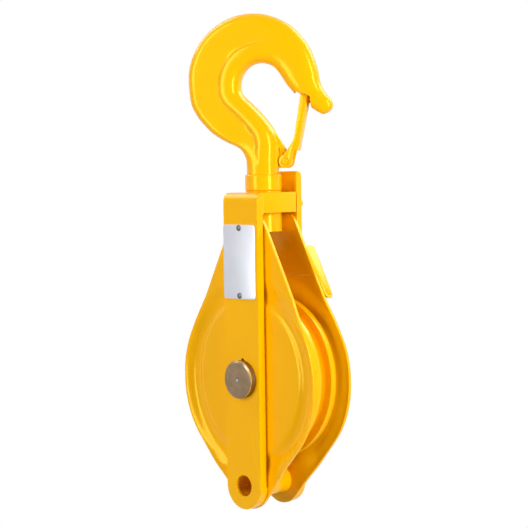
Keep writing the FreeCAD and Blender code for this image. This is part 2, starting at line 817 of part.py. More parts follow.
def section_points(outer, inner, thick):
    """A closed outline, flatter than an ellipse, between two points of the hook's plane."""
    middle = Vector((outer[0] + inner[0]) / 2, 0, (outer[1] + inner[1]) / 2)
    reach = Vector(outer[0] - inner[0], 0, outer[1] - inner[1]) * 0.5
    power = 2 / 2.5
    points = []
    count = 16
    for index in range(count + 1):
        angle = 2 * math.pi * (index % count) / count
        cosine = math.cos(angle)
        sine = math.sin(angle)
        along = math.copysign(abs(cosine) ** power, cosine)
        over = math.copysign(abs(sine) ** power, sine)
        points.append(middle + reach * along + Vector(0, thick / 2 * over, 0))
    return points


def skinned(sections):
    """A solid whose skin runs smoothly through the sections and is closed flat at both ends."""
    surface = Part.BSplineSurface()
    surface.interpolate([section_points(*section) for section in sections])
    skin = surface.toShape()
    first, last = surface.bounds()[:2]
    caps = [Part.Face(Part.Wire([surface.uIso(place).toShape()])) for place in (first, last)]
    shell = Part.Shell(Part.makeCompound([skin, *caps]).Faces)
    shell.sewShape()
    solid = Part.Solid(Part.Shell(shell.Faces))
    if solid.Volume < 0:
        solid.reverse()
    return solid


def hook():
    forging = skinned(hook_sections())
    low = number("%s - axle_drop" % COLLAR_LOW)
    tall = number("collar_tall")
    collar = Part.makeCylinder(number("collar_round"), tall, Vector(0, 0, low))
    rims = [edge for edge in collar.Edges if edge.Closed]
    collar = collar.makeFillet(number("edge_round"), rims)
    stem_low = number("%s - axle_drop - nut_tall" % NUT_TOP)
    stem = Part.makeCylinder(number("stem_round"), low - stem_low + 1, Vector(0, 0, stem_low))
    shape = forging.fuse([collar, stem])
    reach = number("latch_reach")
    drop = -number("latch_drop")
    half = number("lug_half")
    round_lug = number("lug_round")
    lug = Part.makeCylinder(round_lug, 2 * half, Vector(reach, -half, drop), Vector(0, 1, 0))
    inside = number("rib_in")
    above = number("rib_up")
    touch = math.atan2(above, -inside) - math.acos(round_lug / math.hypot(inside, above))
    root = number("shank_round / 2")
    corners = [
        (root, drop + above),
        (reach - inside, drop + above),
        (reach + round_lug * math.cos(touch), drop + round_lug * math.sin(touch)),
        (reach, drop),
        (reach, drop - round_lug),
        (root, drop - round_lug),
    ]
    spots = [Vector(x, -half, z) for x, z in corners]
    rib = Part.Face(Part.makePolygon(spots + spots[:1])).extrude(Vector(0, 2 * half, 0))
    shape = shape.fuse([lug, rib])
    shape = shape.cut(round_rivet_hole())
    swing = math.hypot(number("latch_lean - latch_reach"), number("latch_drop - latch_top")) + number("notch_over")
    start = number("latch_lean - 2 * latch_deep")
    long = number("latch_lean + notch_room") - start
    side = number("latch_width / 2 + side_room")
    notch = Part.makeCylinder(swing, FAR, Vector(reach, side - FAR, drop), Vector(0, 1, 0))
    notch = notch.common(Part.makeBox(long, FAR, -drop, Vector(start, side - FAR, drop / 2)))
    shape = shape.cut(notch)
    level = number("%s - axle_drop" % PIN_LEVEL)
    radius = number("nut_pin + fixed_fit")
    shape = shape.cut(Part.makeCylinder(radius, FAR, Vector(-FAR / 2, 0, level), Vector(1, 0, 0)))
    return shaped("hook", one_solid(shape.removeSplitter(), "hook"), hook=True)


def round_rivet_hole():
    wide = number("latch_width")
    spot = Vector(number("latch_reach"), -wide, -number("latch_drop"))
    return Part.makeCylinder(number("rivet_round + running_fit"), 2 * wide, spot, Vector(0, 1, 0))


# Latch: pressed channel with an ear each side of the hook's lug
LATCH_FOOT = ("latch_reach + foot_out", "-(latch_drop - foot_up)")
LATCH_BEND = ("latch_reach + bend_out", "-(latch_drop - bend_up)")
LATCH_SLOPE = "(latch_lean - latch_reach - foot_out) / (latch_drop - foot_up - latch_top)"


def hook_latch():
    made = body("hook_latch", hook=True)
    faces = ("-latch_width / 2", "latch_width / 2")
    slab(made, "XZ", *faces, polygons=[[
        ("latch_lean - latch_deep", "-latch_top"),
        ("latch_lean", "-latch_top"),
        LATCH_FOOT,
        (LATCH_FOOT[0] + " - foot_step", LATCH_FOOT[1]),
        ("latch_reach + ear_round", "-latch_drop"),
        ("latch_reach", "-latch_drop"),
        ("latch_reach + ear_round * cos(ear_meet * 1 deg)", "ear_round * sin(ear_meet * 1 deg) - latch_drop"),
        LATCH_BEND,
    ]])
    bend = lambda e: near(box_of(e).XMin, LATCH_BEND[0]) and near(box_of(e).ZMax, LATCH_BEND[1])
    soften(made, "bend_round", bend)
    slab(made, "XZ", *faces, circles=[("latch_reach", "-latch_drop", "ear_round")])
    inner = ("-(latch_width / 2 - latch_sheet)", "latch_width / 2 - latch_sheet")
    slab(made, "XZ", *inner, polygons=[[
        ("latch_lean - latch_sheet * (1 + %s)" % LATCH_SLOPE, "-(latch_top + latch_sheet)"),
        (LATCH_FOOT[0] + " - latch_sheet", LATCH_FOOT[1]),
        ("2 * latch_lean", LATCH_FOOT[1]),
        ("2 * latch_lean", "-2 * latch_drop"),
        ("0", "-2 * latch_drop"),
        ("0", "-(latch_top + latch_sheet)"),
    ]], cut=True)
    hole = [("latch_reach", "-latch_drop", "rivet_round + fixed_fit")]
    slab(made, "XZ", *faces, circles=hole, cut=True)
    return made


def latch_pin():
    made = body("latch_pin", hook=True)
    spot = ("latch_reach", "-latch_drop")
    slab(made, "XZ", "-latch_width / 2", "latch_width / 2", circles=[(*spot, "rivet_round")])
    head = "latch_width / 2 + rivet_round / 2"
    slab(made, "XZ", "latch_width / 2", head, circles=[(*spot, "rivet_head")])
    slab(made, "XZ", "-(%s)" % head, "-latch_width / 2", circles=[(*spot, "rivet_head")])
    ends = lambda e: near(box_of(e).YMin, head) or near(box_of(e).YMax, "-(%s)" % head)
    soften(made, "rivet_round / 4", ends, chamfer=True)
    return made


def latch_spring():
    """A coil between the lug and one ear, with one leg on the shank and one on the latch's back."""
    wire = number("spring_wire")
    coil = number("spring_coil")
    middle = (number("lug_half") + number("latch_width") / 2 - number("latch_sheet")) / 2
    spot = Vector(number("latch_reach"), -middle, -number("latch_drop"))
    ring = Part.makeTorus(coil, wire, spot, Vector(0, 1, 0))
    first = Part.makeCylinder(wire * 0.9, 3.5 * coil, spot - Vector(coil, 0, 0), Vector(-0.1, 0, 1))
    last = Part.makeCylinder(wire * 0.9, 2 * coil, spot + Vector(coil, 0, 0), Vector(0.25, 0, 1))
    return shaped("latch_spring", one_solid(ring.fuse([first, last]), "latch_spring"), hook=True)


# Name plate and its rivets, left bare
def name_plate():
    made = body("name_plate")
    left = "plate_side - plate_wide / 2"
    right = "plate_side + plate_wide / 2"
    low = "plate_height - plate_tall / 2"
    high = "plate_height + plate_tall / 2"
    faces = (FRONT_OUT + " - plate_thick", FRONT_OUT)
    slab(made, "XZ", *faces, polygons=[rectangle(left, right, low, high)])
    holes = [(*spot, "plate_rivet + fixed_fit") for spot in PLATE_RIVETS]
    slab(made, "XZ", *faces, circles=holes, cut=True)
    upright = lambda e: near(e.Length, "plate_thick") and not e.Closed
    soften(made, "plate_corner", upright)
    return made


def plate_rivets():
    head = FRONT_OUT + " - plate_thick"
    radius = number("plate_rivet")
    cap = number("plate_rivet_head")
    found = []
    for across, up in PLATE_RIVETS:
        spot = Vector(number(across), number(head), number(up))
        shank = Part.makeCylinder(radius, number("plate_thick + strap_thick / 2"), spot, Vector(0, 1, 0))
        dome = Part.makeCone(cap, cap * 0.6, 1.0, spot, Vector(0, -1, 0))
        found.append(shank.fuse(dome).removeSplitter().Solids[0])
    return shaped("plate_rivets", Part.makeCompound(found))


pieces = [
    front_strap(),
    crosshead(),
    rear_strap(),
    hinge_tube(),
    tail_spacer(),
    cheek("front_cheek", -1),
    cheek("rear_cheek", 1),
    axle_pin(),
    axle_dowel(),
    axle_ring(),
    grease_nipple(),
    hub_washer("front_hub_washer", "-(half_gap - cheek_thick)", "-(hub_half + side_room / 3)"),
    hub_washer("rear_hub_washer", "hub_half + side_room / 3", "half_gap - cheek_thick"),
    sheave(),
    sheave_bush(),
    gate_plate(),
    gate_bar(),
    hinge_pin(),
    keeper_stud(),
    keeper_washer(),
    keeper_button(),
    thrust_washer(),
    hook(),
    shank_nut(),
    nut_lock_pin(),
    hook_latch(),
    latch_pin(),
    latch_spring(),
    name_plate(),
    plate_rivets(),
]
doc.recompute()

for feature in doc.Objects:
    if "Invalid" in feature.State or "Error" in feature.State:
        raise RuntimeError("%s failed: %s" % (feature.Label, feature.State))
for piece in pieces:
    if piece.Shape.isNull() or not piece.Shape.isValid() or piece.Shape.Volume <= 0:
        raise RuntimeError("%s has no sound shape" % piece.Label)

for piece in pieces:
    piece.Shape.exportStep("parts/%s.step" % piece.Label)
    print(piece.Label, len(piece.Shape.Solids), round(piece.Shape.Volume))
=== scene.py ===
"""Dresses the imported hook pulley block: enamelled straps, cheeks, wheel, gate, hook and latch."""
import json
from math import acos, asin, atan2, copysign, cos, hypot, pi, radians, sin, sqrt

import bmesh
import bpy
from bpy.props import FloatProperty, FloatVectorProperty, PointerProperty
from mathutils import Matrix, Vector


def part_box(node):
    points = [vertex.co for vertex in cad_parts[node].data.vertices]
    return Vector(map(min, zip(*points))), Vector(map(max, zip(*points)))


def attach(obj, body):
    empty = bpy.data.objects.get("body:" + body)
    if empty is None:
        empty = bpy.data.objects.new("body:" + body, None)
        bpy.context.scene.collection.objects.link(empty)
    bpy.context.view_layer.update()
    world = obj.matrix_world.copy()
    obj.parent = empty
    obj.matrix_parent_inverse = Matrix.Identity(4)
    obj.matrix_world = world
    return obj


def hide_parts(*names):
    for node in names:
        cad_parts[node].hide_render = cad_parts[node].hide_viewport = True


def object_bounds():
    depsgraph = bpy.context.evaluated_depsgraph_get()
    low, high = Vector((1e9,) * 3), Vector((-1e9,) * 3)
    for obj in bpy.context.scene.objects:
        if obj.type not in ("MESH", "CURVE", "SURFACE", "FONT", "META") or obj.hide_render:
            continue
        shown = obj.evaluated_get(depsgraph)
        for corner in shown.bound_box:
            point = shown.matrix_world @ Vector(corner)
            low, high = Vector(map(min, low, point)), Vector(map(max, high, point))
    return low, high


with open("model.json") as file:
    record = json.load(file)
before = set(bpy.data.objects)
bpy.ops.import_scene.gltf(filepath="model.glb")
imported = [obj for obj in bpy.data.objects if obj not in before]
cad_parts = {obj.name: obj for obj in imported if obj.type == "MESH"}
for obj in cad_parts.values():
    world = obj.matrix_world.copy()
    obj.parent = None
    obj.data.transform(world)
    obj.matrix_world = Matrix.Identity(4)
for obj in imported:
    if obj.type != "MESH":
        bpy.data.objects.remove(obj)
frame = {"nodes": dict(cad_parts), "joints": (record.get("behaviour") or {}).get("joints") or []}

bl_info = {
    "name": "Hook Pulley Block",
    "version": (1, 0, 0),
    "blender": (4, 5, 0),
    "location": "View3D > Sidebar > Pulley Block",
    "description": "Models and paints a swivel-hook pulley block over its CAD frame",
    "category": "Object",
}

MM = 0.001
ALONG_X = (1, 0, 0)
ALONG_Y = (0, 1, 0)
ALONG_Z = (0, 0, 1)
CAD_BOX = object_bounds()


# Places taken from the CAD frame
def low(node):
    return Vector(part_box(node)[0])


def high(node):
    return Vector(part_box(node)[1])


def middle(node):
    return (low(node) + high(node)) / 2


def joint(name):
    return [entry for entry in frame["joints"] if entry["name"] == name][0]


AXLE = middle("sheave")
LATCH_AXIS = Vector(joint("latch_pivot")["axis"])
HOOK_TURN = Matrix.Rotation(atan2(LATCH_AXIS.x, -LATCH_AXIS.y), 3, "Z")
LATCH_PIVOT = HOOK_TURN.transposed() @ Vector(joint("latch_pivot")["pos_m"])
HINGE = Vector(joint("gate_swing")["pos_m"])
BUTTON = Vector(joint("button_turn")["pos_m"])
INNER_FACE = -high("front_strap").y
BAR_HALF = high("front_strap").x
TAIL = Vector((0, 0, low("front_strap").z + BAR_HALF))
TAIL_HOLE = 9 * MM
SEAM_LINE = AXLE.z + 86.5 * MM


def hook_spot(along, over, up):
    """A place from millimetres in the hook's own plane, about the bowl's centre."""
    return HOOK_TURN @ (Vector((along, over, up)) * MM)


# Sizes and colours that a user would change
def length_property(name, description, default):
    return FloatProperty(name=name, description=description, default=default, unit="LENGTH")


def angle_property(name, description, degrees):
    return FloatProperty(
        name=name, description=description, default=radians(degrees), unit="ROTATION"
    )


def colour_property(name, description, default):
    return FloatVectorProperty(
        name=name, description=description, default=default, subtype="COLOR", min=0, max=1
    )


class EnamelSettings(bpy.types.PropertyGroup):
    yellow: colour_property("Yellow", "Colour of the enamel", (0.93, 0.445, 0.0))
    shade: colour_property("Thin Coat", "Colour where the coat lies thinner", (0.92, 0.43, 0.0))
    peel: FloatProperty(
        name="Orange Peel", description="Depth of the coat's ripple", default=0.05, min=0, max=1
    )
    gloss: FloatProperty(
        name="Roughness", description="Roughness of the coat", default=0.19, min=0, max=1
    )


class HookSettings(bpy.types.PropertyGroup):
    belly: length_property("Belly", "Width of the rounded roll round the bowl", 17 * MM)
    flat_half: length_property("Flat Half", "Half thickness of the flat outer part", 9.3 * MM)
    outer_round: length_property("Outer Round", "Rounding of the outer bow", 7.5 * MM)


class CheekSettings(bpy.types.PropertyGroup):
    disc: length_property("Disc", "Radius of the raised middle", 57 * MM)
    foot: length_property("Disc Foot", "Radius where the valley starts", 63 * MM)
    valley_end: length_property("Valley End", "Radius where it rises", 67 * MM)
    valley_foot: length_property("Valley Foot", "Radius where it is flat", 77 * MM)
    valley: length_property("Valley", "Depth of the ring valley", 1.8 * MM)
    stretch: FloatProperty(
        name="Stretch", description="Height of the raised middle over its width", default=1.12
    )
    lip: length_property("Lip", "How far the rim flares out at the sides", 2.8 * MM)


class StageSettings(bpy.types.PropertyGroup):
    azimuth: angle_property("Azimuth", "Camera's turn", 44.87)
    pitch: angle_property("Pitch", "Camera's tilt down", 3.255)
    roll: angle_property("Roll", "Camera's roll", -0.817)
    distance: length_property("Distance", "Camera to the block", 1.534)
    aim: length_property("Aim", "Height of the aim over the axle", 0.0958)
    lens: FloatProperty(name="Lens", description="Focal length in millimetres", default=122.7)
    floor_drop: length_property("Floor", "Floor under the block", 1.0)


# Modelling helpers
def deselect():
    if bpy.context.object and bpy.context.object.mode != "OBJECT":
        bpy.ops.object.mode_set(mode="OBJECT")
    bpy.ops.object.select_all(action="DESELECT")


def activate(piece):
    deselect()
    piece.select_set(True)
    bpy.context.view_layer.objects.active = piece


def apply_modifier(piece, kind, **settings):
    activate(piece)
    modifier = piece.modifiers.new(kind.title(), kind)
    for name, value in settings.items():
        setattr(modifier, name, value)
    bpy.ops.object.modifier_apply(modifier=modifier.name)


def start_editing(piece):
    """Edit mode on the piece, with all of its mesh selected."""
    activate(piece)
    bpy.ops.object.mode_set(mode="EDIT")
    bpy.ops.mesh.select_all(action="SELECT")


def stop_editing():
    bpy.ops.object.mode_set(mode="OBJECT")


def face_outwards(piece):
    """Merge doubles and point every face outwards."""
    start_editing(piece)
    bpy.ops.mesh.remove_doubles(threshold=0.002 * MM)
    bpy.ops.mesh.normals_make_consistent(inside=False)
    stop_editing()


def named(name):
    """Name the object that was just added."""
    piece = bpy.context.object
    piece.name = name
    return piece


def point_loop(name, points, fill_type):
    """A circle whose points are moved to the given places, left in edit mode."""
    deselect()
    bpy.ops.mesh.primitive_circle_add(vertices=len(points), fill_type=fill_type)
    piece = named(name)
    bpy.ops.object.mode_set(mode="EDIT")
    mesh = bmesh.from_edit_mesh(piece.data)
    for vertex, point in zip(mesh.verts, points):
        vertex.co = point
    bmesh.update_edit_mesh(piece.data)
    return piece


def grown(name, rings, filled=True):
    """A solid or a sheet grown from one loop of points to the next by extruding its rim."""
    piece = point_loop(name, rings[0], "NGON" if filled else "NOTHING")
    extrude = bpy.ops.mesh.extrude_region_move if filled else bpy.ops.mesh.extrude_edges_move
    turn = {index: index for index in range(len(rings[0]))}
    for ring in rings[1:]:
        extrude()
        mesh = bmesh.from_edit_mesh(piece.data)
        mesh.verts.index_update()
        fresh = {}
        for vertex in mesh.verts:
            if vertex.select:
                before = [edge.other_vert(vertex) for edge in vertex.link_edges]
                before = [other for other in before if not other.select][0]
                fresh[vertex.index] = turn[before.index]
                vertex.co = ring[turn[before.index]]
        turn = fresh
        bmesh.update_edit_mesh(piece.data)
    stop_editing()
    if filled:
        face_outwards(piece)
    return piece


def prism(name, outline, depth):
    """A filled outline of places pushed along a vector."""
    return grown(name, [outline, [point + depth for point in outline]])


def turned(name, profile, centre, steps=128):
    """A closed profile of (radius, place along Y) turned about a line along Y."""
    points = [(centre.x + radius, along, centre.z) for radius, along in profile]
    piece = point_loop(name, points, "NOTHING")
    bpy.ops.mesh.spin(steps=steps, angle=2 * pi, center=centre, axis=ALONG_Y)
    stop_editing()
    face_outwards(piece)
    return piece


def box_between(name, lowest, highest):
    deselect()
    bpy.ops.mesh.primitive_cube_add(size=1, location=(Vector(lowest) + Vector(highest)) / 2)
    piece = named(name)
    piece.scale = Vector(highest) - Vector(lowest)
    bpy.ops.object.transform_apply()
    return piece


def rod(name, centre, axis, radius, length, vertices=96):
    deselect()
    bpy.ops.mesh.primitive_cylinder_add(
        vertices=vertices, radius=radius, depth=length, location=centre
    )
    piece = named(name)
    piece.rotation_mode = "QUATERNION"
    piece.rotation_quaternion = Vector(ALONG_Z).rotation_difference(Vector(axis))
    bpy.ops.object.transform_apply()
    return piece


def weld(piece, threshold=0.01 * MM):
    """Merge points that lie closer than the threshold, and drop slivers."""
    start_editing(piece)
    bpy.ops.mesh.remove_doubles(threshold=threshold)
    bpy.ops.mesh.dissolve_degenerate(threshold=threshold)
    stop_editing()


def combine(piece, tool, operation="DIFFERENCE"):
    """Cut a tool out of the piece, or join it on."""
    apply_modifier(piece, "BOOLEAN", object=tool, operation=operation, solver="EXACT")
    bpy.data.objects.remove(tool)
    weld(piece)


def bore(piece, centre, axis, radius, length=200 * MM):
    """A round hole about a centre; it goes right through unless a length is given."""
    combine(piece, rod("bore", centre, axis, radius, length))


def runs_along(direction, axis, share=0.9):
    return abs(direction.dot(Vector(axis))) >= share


def round_edges(piece, chosen, radius, segments):
    """Bevel the edges for which chosen(middle, direction) is true."""
    start_editing(piece)
    bpy.ops.mesh.select_mode(type="EDGE")
    bpy.ops.mesh.select_all(action="DESELECT")
    mesh = bmesh.from_edit_mesh(piece.data)
    count = 0
    for edge in mesh.edges:
        first, second = (vertex.co for vertex in edge.verts)
        if chosen((first + second) / 2, (second - first).normalized()):
            edge.select_set(True)
            count += 1
    if not count:
        raise RuntimeError(piece.name + ": no edge to round")
    bmesh.update_edit_mesh(piece.data)
    bpy.ops.mesh.bevel(
        offset=radius, offset_type="OFFSET", segments=segments, affect="EDGES", clamp_overlap=True
    )
    stop_editing()


def soften(piece, width, segments=3, angle=35):
    """Round every sharp edge a little and shade the rest smooth."""
    apply_modifier(
        piece, "BEVEL", width=width, segments=segments, limit_method="ANGLE",
        angle_limit=radians(angle), use_clamp_overlap=True, miter_outer="MITER_ARC",
    )
    weld(piece)
    shade(piece)


def shade(piece, angle=32):
    activate(piece)
    bpy.ops.object.shade_smooth_by_angle(angle=radians(angle))


def dress(piece, look):
    piece.data.materials.clear()
    piece.data.materials.append(material_of(look))


def finish(piece, body, *nodes, slot="paint", look="enamel"):
    """Give the piece its finish, its body and the CAD nodes that it stands for."""
    dress(piece, look)
    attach(piece, body)
    if nodes:
        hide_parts(*nodes)


# Materials
METALS = {
    "turned_steel": ((0.29, 0.2, 0.12), 0.3, AXLE),
    "bright_steel": ((0.5, 0.5, 0.52), 0.28),
    # Dark steel for the dowel and the ring; on the axle's centre mark it is painted shade of a deep
    # hole.
    "hardened_steel_and_hole_shade": ((0.2, 0.2, 0.21), 0.35),
    "bush_bronze": ((0.58, 0.34, 0.14), 0.34, AXLE),
    "nipple_brass": ((0.7, 0.5, 0.2), 0.3),
    "dark_rivet": ((0.12, 0.12, 0.12), 0.35),
}


def feed(owner, node, name, value):
    """Set a node's input to a value, or link it to another node's output."""
    if isinstance(value, bpy.types.NodeSocket):
        owner.node_tree.links.new(value, node.inputs[name])
    else:
        node.inputs[name].default_value = value


def add_node(owner, kind, **inputs):
    """A node in the tree of a material or the world, with its inputs set or linked by name."""
    node = owner.node_tree.nodes.new(kind)
    for name, value in inputs.items():
        feed(owner, node, name.replace("_", " "), value)
    return node


def new_material(name, colour, metallic, roughness):
    material = bpy.data.materials.new(name)
    material.use_nodes = True
    shader = material.node_tree.nodes["Principled BSDF"]
    feed(material, shader, "Base Color", (*colour, 1))
    feed(material, shader, "Metallic", metallic)
    feed(material, shader, "Roughness", roughness)
    return material, shader


def noise(material, scale, detail=3.0, stretch=None):
    """Noise on the object's own coordinates, stretched if asked."""
    place = add_node(material, "ShaderNodeTexCoord").outputs["Object"]
    if stretch:
        mapping = add_node(material, "ShaderNodeMapping", Vector=place, Scale=stretch)
        place = mapping.outputs["Vector"]
    texture = add_node(material, "ShaderNodeTexNoise", Vector=place, Scale=scale, Detail=detail)
    return texture.outputs["Fac"]


def mixed_colour(material, shader, factor, first, second, low_at=0.35, high_at=0.65):
    """Base colour that goes from the first to the second between two values of the factor."""
    ramp = add_node(material, "ShaderNodeValToRGB", Fac=factor)
    for stop, at, colour in zip(ramp.color_ramp.elements, (low_at, high_at), (first, second)):
        stop.position = at
        stop.color = (*colour, 1)
    feed(material, shader, "Base Color", ramp.outputs["Color"])


def varied_gloss(material, shader, factor, least, most):
    """Roughness between two values."""
    spread = add_node(material, "ShaderNodeMapRange", Value=factor, To_Min=least, To_Max=most)
    feed(material, shader, "Roughness", spread.outputs["Result"])


def bumped(material, shader, strength, *layers):
    """Bump from layers of (factor, depth), each on top of the one before."""
    below = {}
    for factor, depth in layers:
        bump = add_node(
            material, "ShaderNodeBump", Height=factor, Strength=strength, Distance=depth, **below
        )
        below = {"Normal": bump.outputs["Normal"]}
    feed(material, shader, "Normal", below["Normal"])


def enamel_material(name, skin_scale=60, skin_depth=0.3 * MM, ripple_scale=260):
    """Thick glossy enamel: an uneven skin with a fine ripple on it."""
    settings = bpy.context.scene.pulley_enamel
    spread = 0.03
    material, shader = new_material(name, settings.yellow, 0, settings.gloss)
    feed(material, shader, "Specular IOR Level", 0.5)
    feed(material, shader, "Specular Tint", (1.0, 0.85, 0.12, 1))
    coat = noise(material, scale=38, detail=2)
    mixed_colour(material, shader, coat, settings.shade, settings.yellow, 0.25, 0.5)
    uneven = noise(material, scale=120, detail=2)
    varied_gloss(material, shader, uneven, settings.gloss - spread, settings.gloss + spread)
    skin = noise(material, scale=skin_scale)
    ripple = noise(material, scale=ripple_scale, detail=2)
    bumped(material, shader, settings.peel * 2, (skin, skin_depth), (ripple, 0.06 * MM))
    return material


def metal_material(name, colour, roughness, ring_centre=None):
    """Bare stained metal, with the rings of turning about a centre or with a fine grain."""
    material, shader = new_material(name, colour, 1, roughness)
    if ring_centre is None:
        grain = noise(material, scale=220, stretch=(1, 1, 9))
    else:
        place = add_node(material, "ShaderNodeTexCoord").outputs["Object"]
        centred = add_node(material, "ShaderNodeMapping", Vector=place, Location=-ring_centre)
        wave = add_node(
            material, "ShaderNodeTexWave", Vector=centred.outputs["Vector"], Scale=170,
            Distortion=0.6, Detail=2,
        )
        wave.wave_type = "RINGS"
        wave.rings_direction = "Y"
        grain = wave.outputs["Fac"]
    stained = [part * 0.72 for part in colour]
    mixed_colour(material, shader, noise(material, scale=90), stained, colour, 0.3, 0.7)
    varied_gloss(material, shader, grain, roughness - 0.04, roughness + 0.06)
    bumped(material, shader, 0.12, (grain, 0.06 * MM))
    return material


def plate_material(name):
    """Bare light metal, brushed across the plate."""
    colour = (0.60, 0.61, 0.66)
    material, shader = new_material(name, colour, 0.55, 0.38)
    brushed = noise(material, scale=260, stretch=(14, 1, 0.6))
    dulled = [part * 0.93 for part in colour]
    mixed_colour(material, shader, noise(material, scale=40, detail=2), dulled, colour)
    varied_gloss(material, shader, brushed, 0.32, 0.48)
    bumped(material, shader, 0.1, (brushed, 0.04 * MM))
    return material


def split_by_ray(owner, hidden, shown, output):
    """Camera, glossy and transmission rays see the one shader, and all other light the other."""
    rays = add_node(owner, "ShaderNodeLightPath")
    direct = rays.outputs["Is Camera Ray"]
    for name in ("Is Glossy Ray", "Is Transmission Ray"):
        either = add_node(owner, "ShaderNodeMath")
        either.operation = "MAXIMUM"
        feed(owner, either, 0, direct)
        feed(owner, either, 1, rays.outputs[name])
        direct = either.outputs["Value"]
    blend = add_node(owner, "ShaderNodeMixShader", Fac=direct)
    feed(owner, blend, 1, hidden)
    feed(owner, blend, 2, shown)
    feed(owner, owner.node_tree.nodes[output], "Surface", blend.outputs["Shader"])


def stage_material(name, colour):
    """A floor that looks plain white, though it gives the block only its own colour's light."""
    material, shader = new_material(name, colour, 0, 0.9)
    glow = add_node(material, "ShaderNodeEmission", Color=(1, 1, 1, 1), Strength=1)
    split_by_ray(material, shader.outputs["BSDF"], glow.outputs["Emission"], "Material Output")
    return material


def material_of(name):
    """The finish of that name, made at its first use."""
    if name in bpy.data.materials:
        return bpy.data.materials[name]
    if name == "enamel":
        return enamel_material(name)
    if name == "forged_enamel":
        return enamel_material(name, skin_scale=34, skin_depth=0.4 * MM, ripple_scale=180)
    if name == "bare_plate":
        return plate_material(name)
    return metal_material(name, *METALS[name])


# Cheek shape
def step(start, end, amount):
    share = min(max((amount - start) / (end - start), 0), 1)
    return share * share * (3 - 2 * share)


CHEEK = {
    "round": high("front_cheek").x,
    "sag": 4 * MM,
    "slope": radians(27),
    "lobe": 21 * MM,
    "top": high("front_cheek").z - AXLE.z,
    "corner": 9 * MM,
    "thick": 3 * MM,
    "trim": 0.35 * MM,
    "lip_start": 66 * MM,
    "rear_inward": 9 * MM,
    "lip_top": 42 * MM,
    "lip_foot": 72 * MM,
    "lip_fade": 30 * MM,
}
TAIL_DROP = AXLE.z - TAIL.z
SPACER = high("tail_spacer").x
LOWER_SLOPE = asin((CHEEK["round"] - CHEEK["lobe"]) / (TAIL_DROP - CHEEK["sag"]))


def edge_reach(x, z):
    """How far out a place lies, on a scale that is the cheek's radius on its edge."""
    away, slope = z, CHEEK["slope"]
    if z <= 0:
        away, slope = max(-(z + CHEEK["sag"]), 0), LOWER_SLOPE
    return max(hypot(x, away), abs(x) * cos(slope) + away * sin(slope))


def cheek_rise(x, z, side):
    """How far the cheek's face stands out; behind, the flare starts further in."""
    shape = bpy.context.scene.pulley_cheek
    reach = hypot(x, z / shape.stretch)
    falls = step(shape.disc, shape.foot, reach)
    rises = step(shape.valley_end, shape.valley_foot, reach)
    seat = step(SPACER + MM, 2 * SPACER, hypot(x, z + TAIL_DROP))
    start = CHEEK["lip_top"] if z > 0 else CHEEK["lip_foot"]
    sideways = step(BAR_HALF * 1.1, BAR_HALF * 2.1, abs(x))
    sideways *= 1 - step(start, start + CHEEK["lip_fade"], abs(z))
    inward = CHEEK["rear_inward"] if side > 0 else 0
    flare = step(CHEEK["lip_start"] - inward, CHEEK["round"] - inward, edge_reach(x, z))
    return shape.lip * sideways * flare - shape.valley * seat * (falls - rises)


def arc(x, z, radius, start, end, count):
    """Points round a centre from one angle to another, in radians from +X towards +Z."""
    for index in range(count + 1):
        angle = start + (end - start) * index / count
        yield (x + radius * cos(angle), z + radius * sin(angle))


def cheek_outline():
    """Outline about the axle, from the top's middle down the right side and up the left."""
    slope = CHEEK["slope"]
    corner = CHEEK["corner"]
    top = CHEEK["top"]
    centre = (CHEEK["round"] - corner - (top - corner) * sin(slope)) / cos(slope)
    right = [(0, top)]
    right += arc(centre, top - corner, corner, pi / 2, slope, 10)
    right += arc(0, 0, CHEEK["round"], slope, 0, 24)
    right += arc(0, -CHEEK["sag"], CHEEK["round"], 0, -LOWER_SLOPE, 28)
    right += arc(0, -TAIL_DROP, CHEEK["lobe"], -LOWER_SLOPE, -pi / 2, 20)
    return right + [(-x, z) for x, z in reversed(right[1:-1])]


def ray_reach(outline, angle):
    """Distance from the axle to the outline along an angle."""
    cosine = cos(angle)
    sine = sin(angle)
    best = 0
    for (x0, z0), (x1, z1) in zip(outline, outline[1:] + outline[:1]):
        dx = x1 - x0
        dz = z1 - z0
        across = cosine * dz - sine * dx
        if abs(across) > 1e-12:
            reach = (x0 * dz - z0 * dx) / across
            share = (x0 * sine - z0 * cosine) / across
            if reach > best and -1e-6 <= share <= 1 + 1e-6:
                best = reach
    return best


def cheek_sheet(name, side):
    """The pressed cheek in rings from the axle's hole out; side is -1 in front, 1 behind."""
    outline = cheek_outline()
    hole = high("axle_pin").x + 0.03 * MM
    around = 240
    last = 44
    angles = [2 * pi * index / around for index in range(around)]
    reaches = [ray_reach(outline, angle) - CHEEK["trim"] for angle in angles]
    rings = []
    for ring in range(last + 1):
        points = []
        for angle, reach in zip(angles, reaches):
            out = hole + (reach - hole) * (ring / last)
            x = out * cos(angle)
            z = out * sin(angle)
            points.append(Vector((x, side * (INNER_FACE + cheek_rise(x, z, side)), AXLE.z + z)))
        rings.append(points)
    piece = grown(name, rings, filled=False)
    start_editing(piece)
    bpy.ops.mesh.normals_make_consistent(inside=False)
    stop_editing()
    outward = sum(polygon.normal.y for polygon in piece.data.polygons)
    start_editing(piece)
    if outward * side < 0:
        bpy.ops.mesh.flip_normals()
    if side > 0:
        seam = (0, 0, SEAM_LINE - 0.15 * MM)
        bpy.ops.mesh.bisect(plane_co=seam, plane_no=ALONG_Z, clear_outer=True, use_fill=False)
    stop_editing()
    apply_modifier(piece, "SOLIDIFY", thickness=CHEEK["thick"], offset=-1)
    bore(piece, TAIL, ALONG_Y, TAIL_HOLE)
    soften(piece, 0.55 * MM, 2, 50)
    return piece


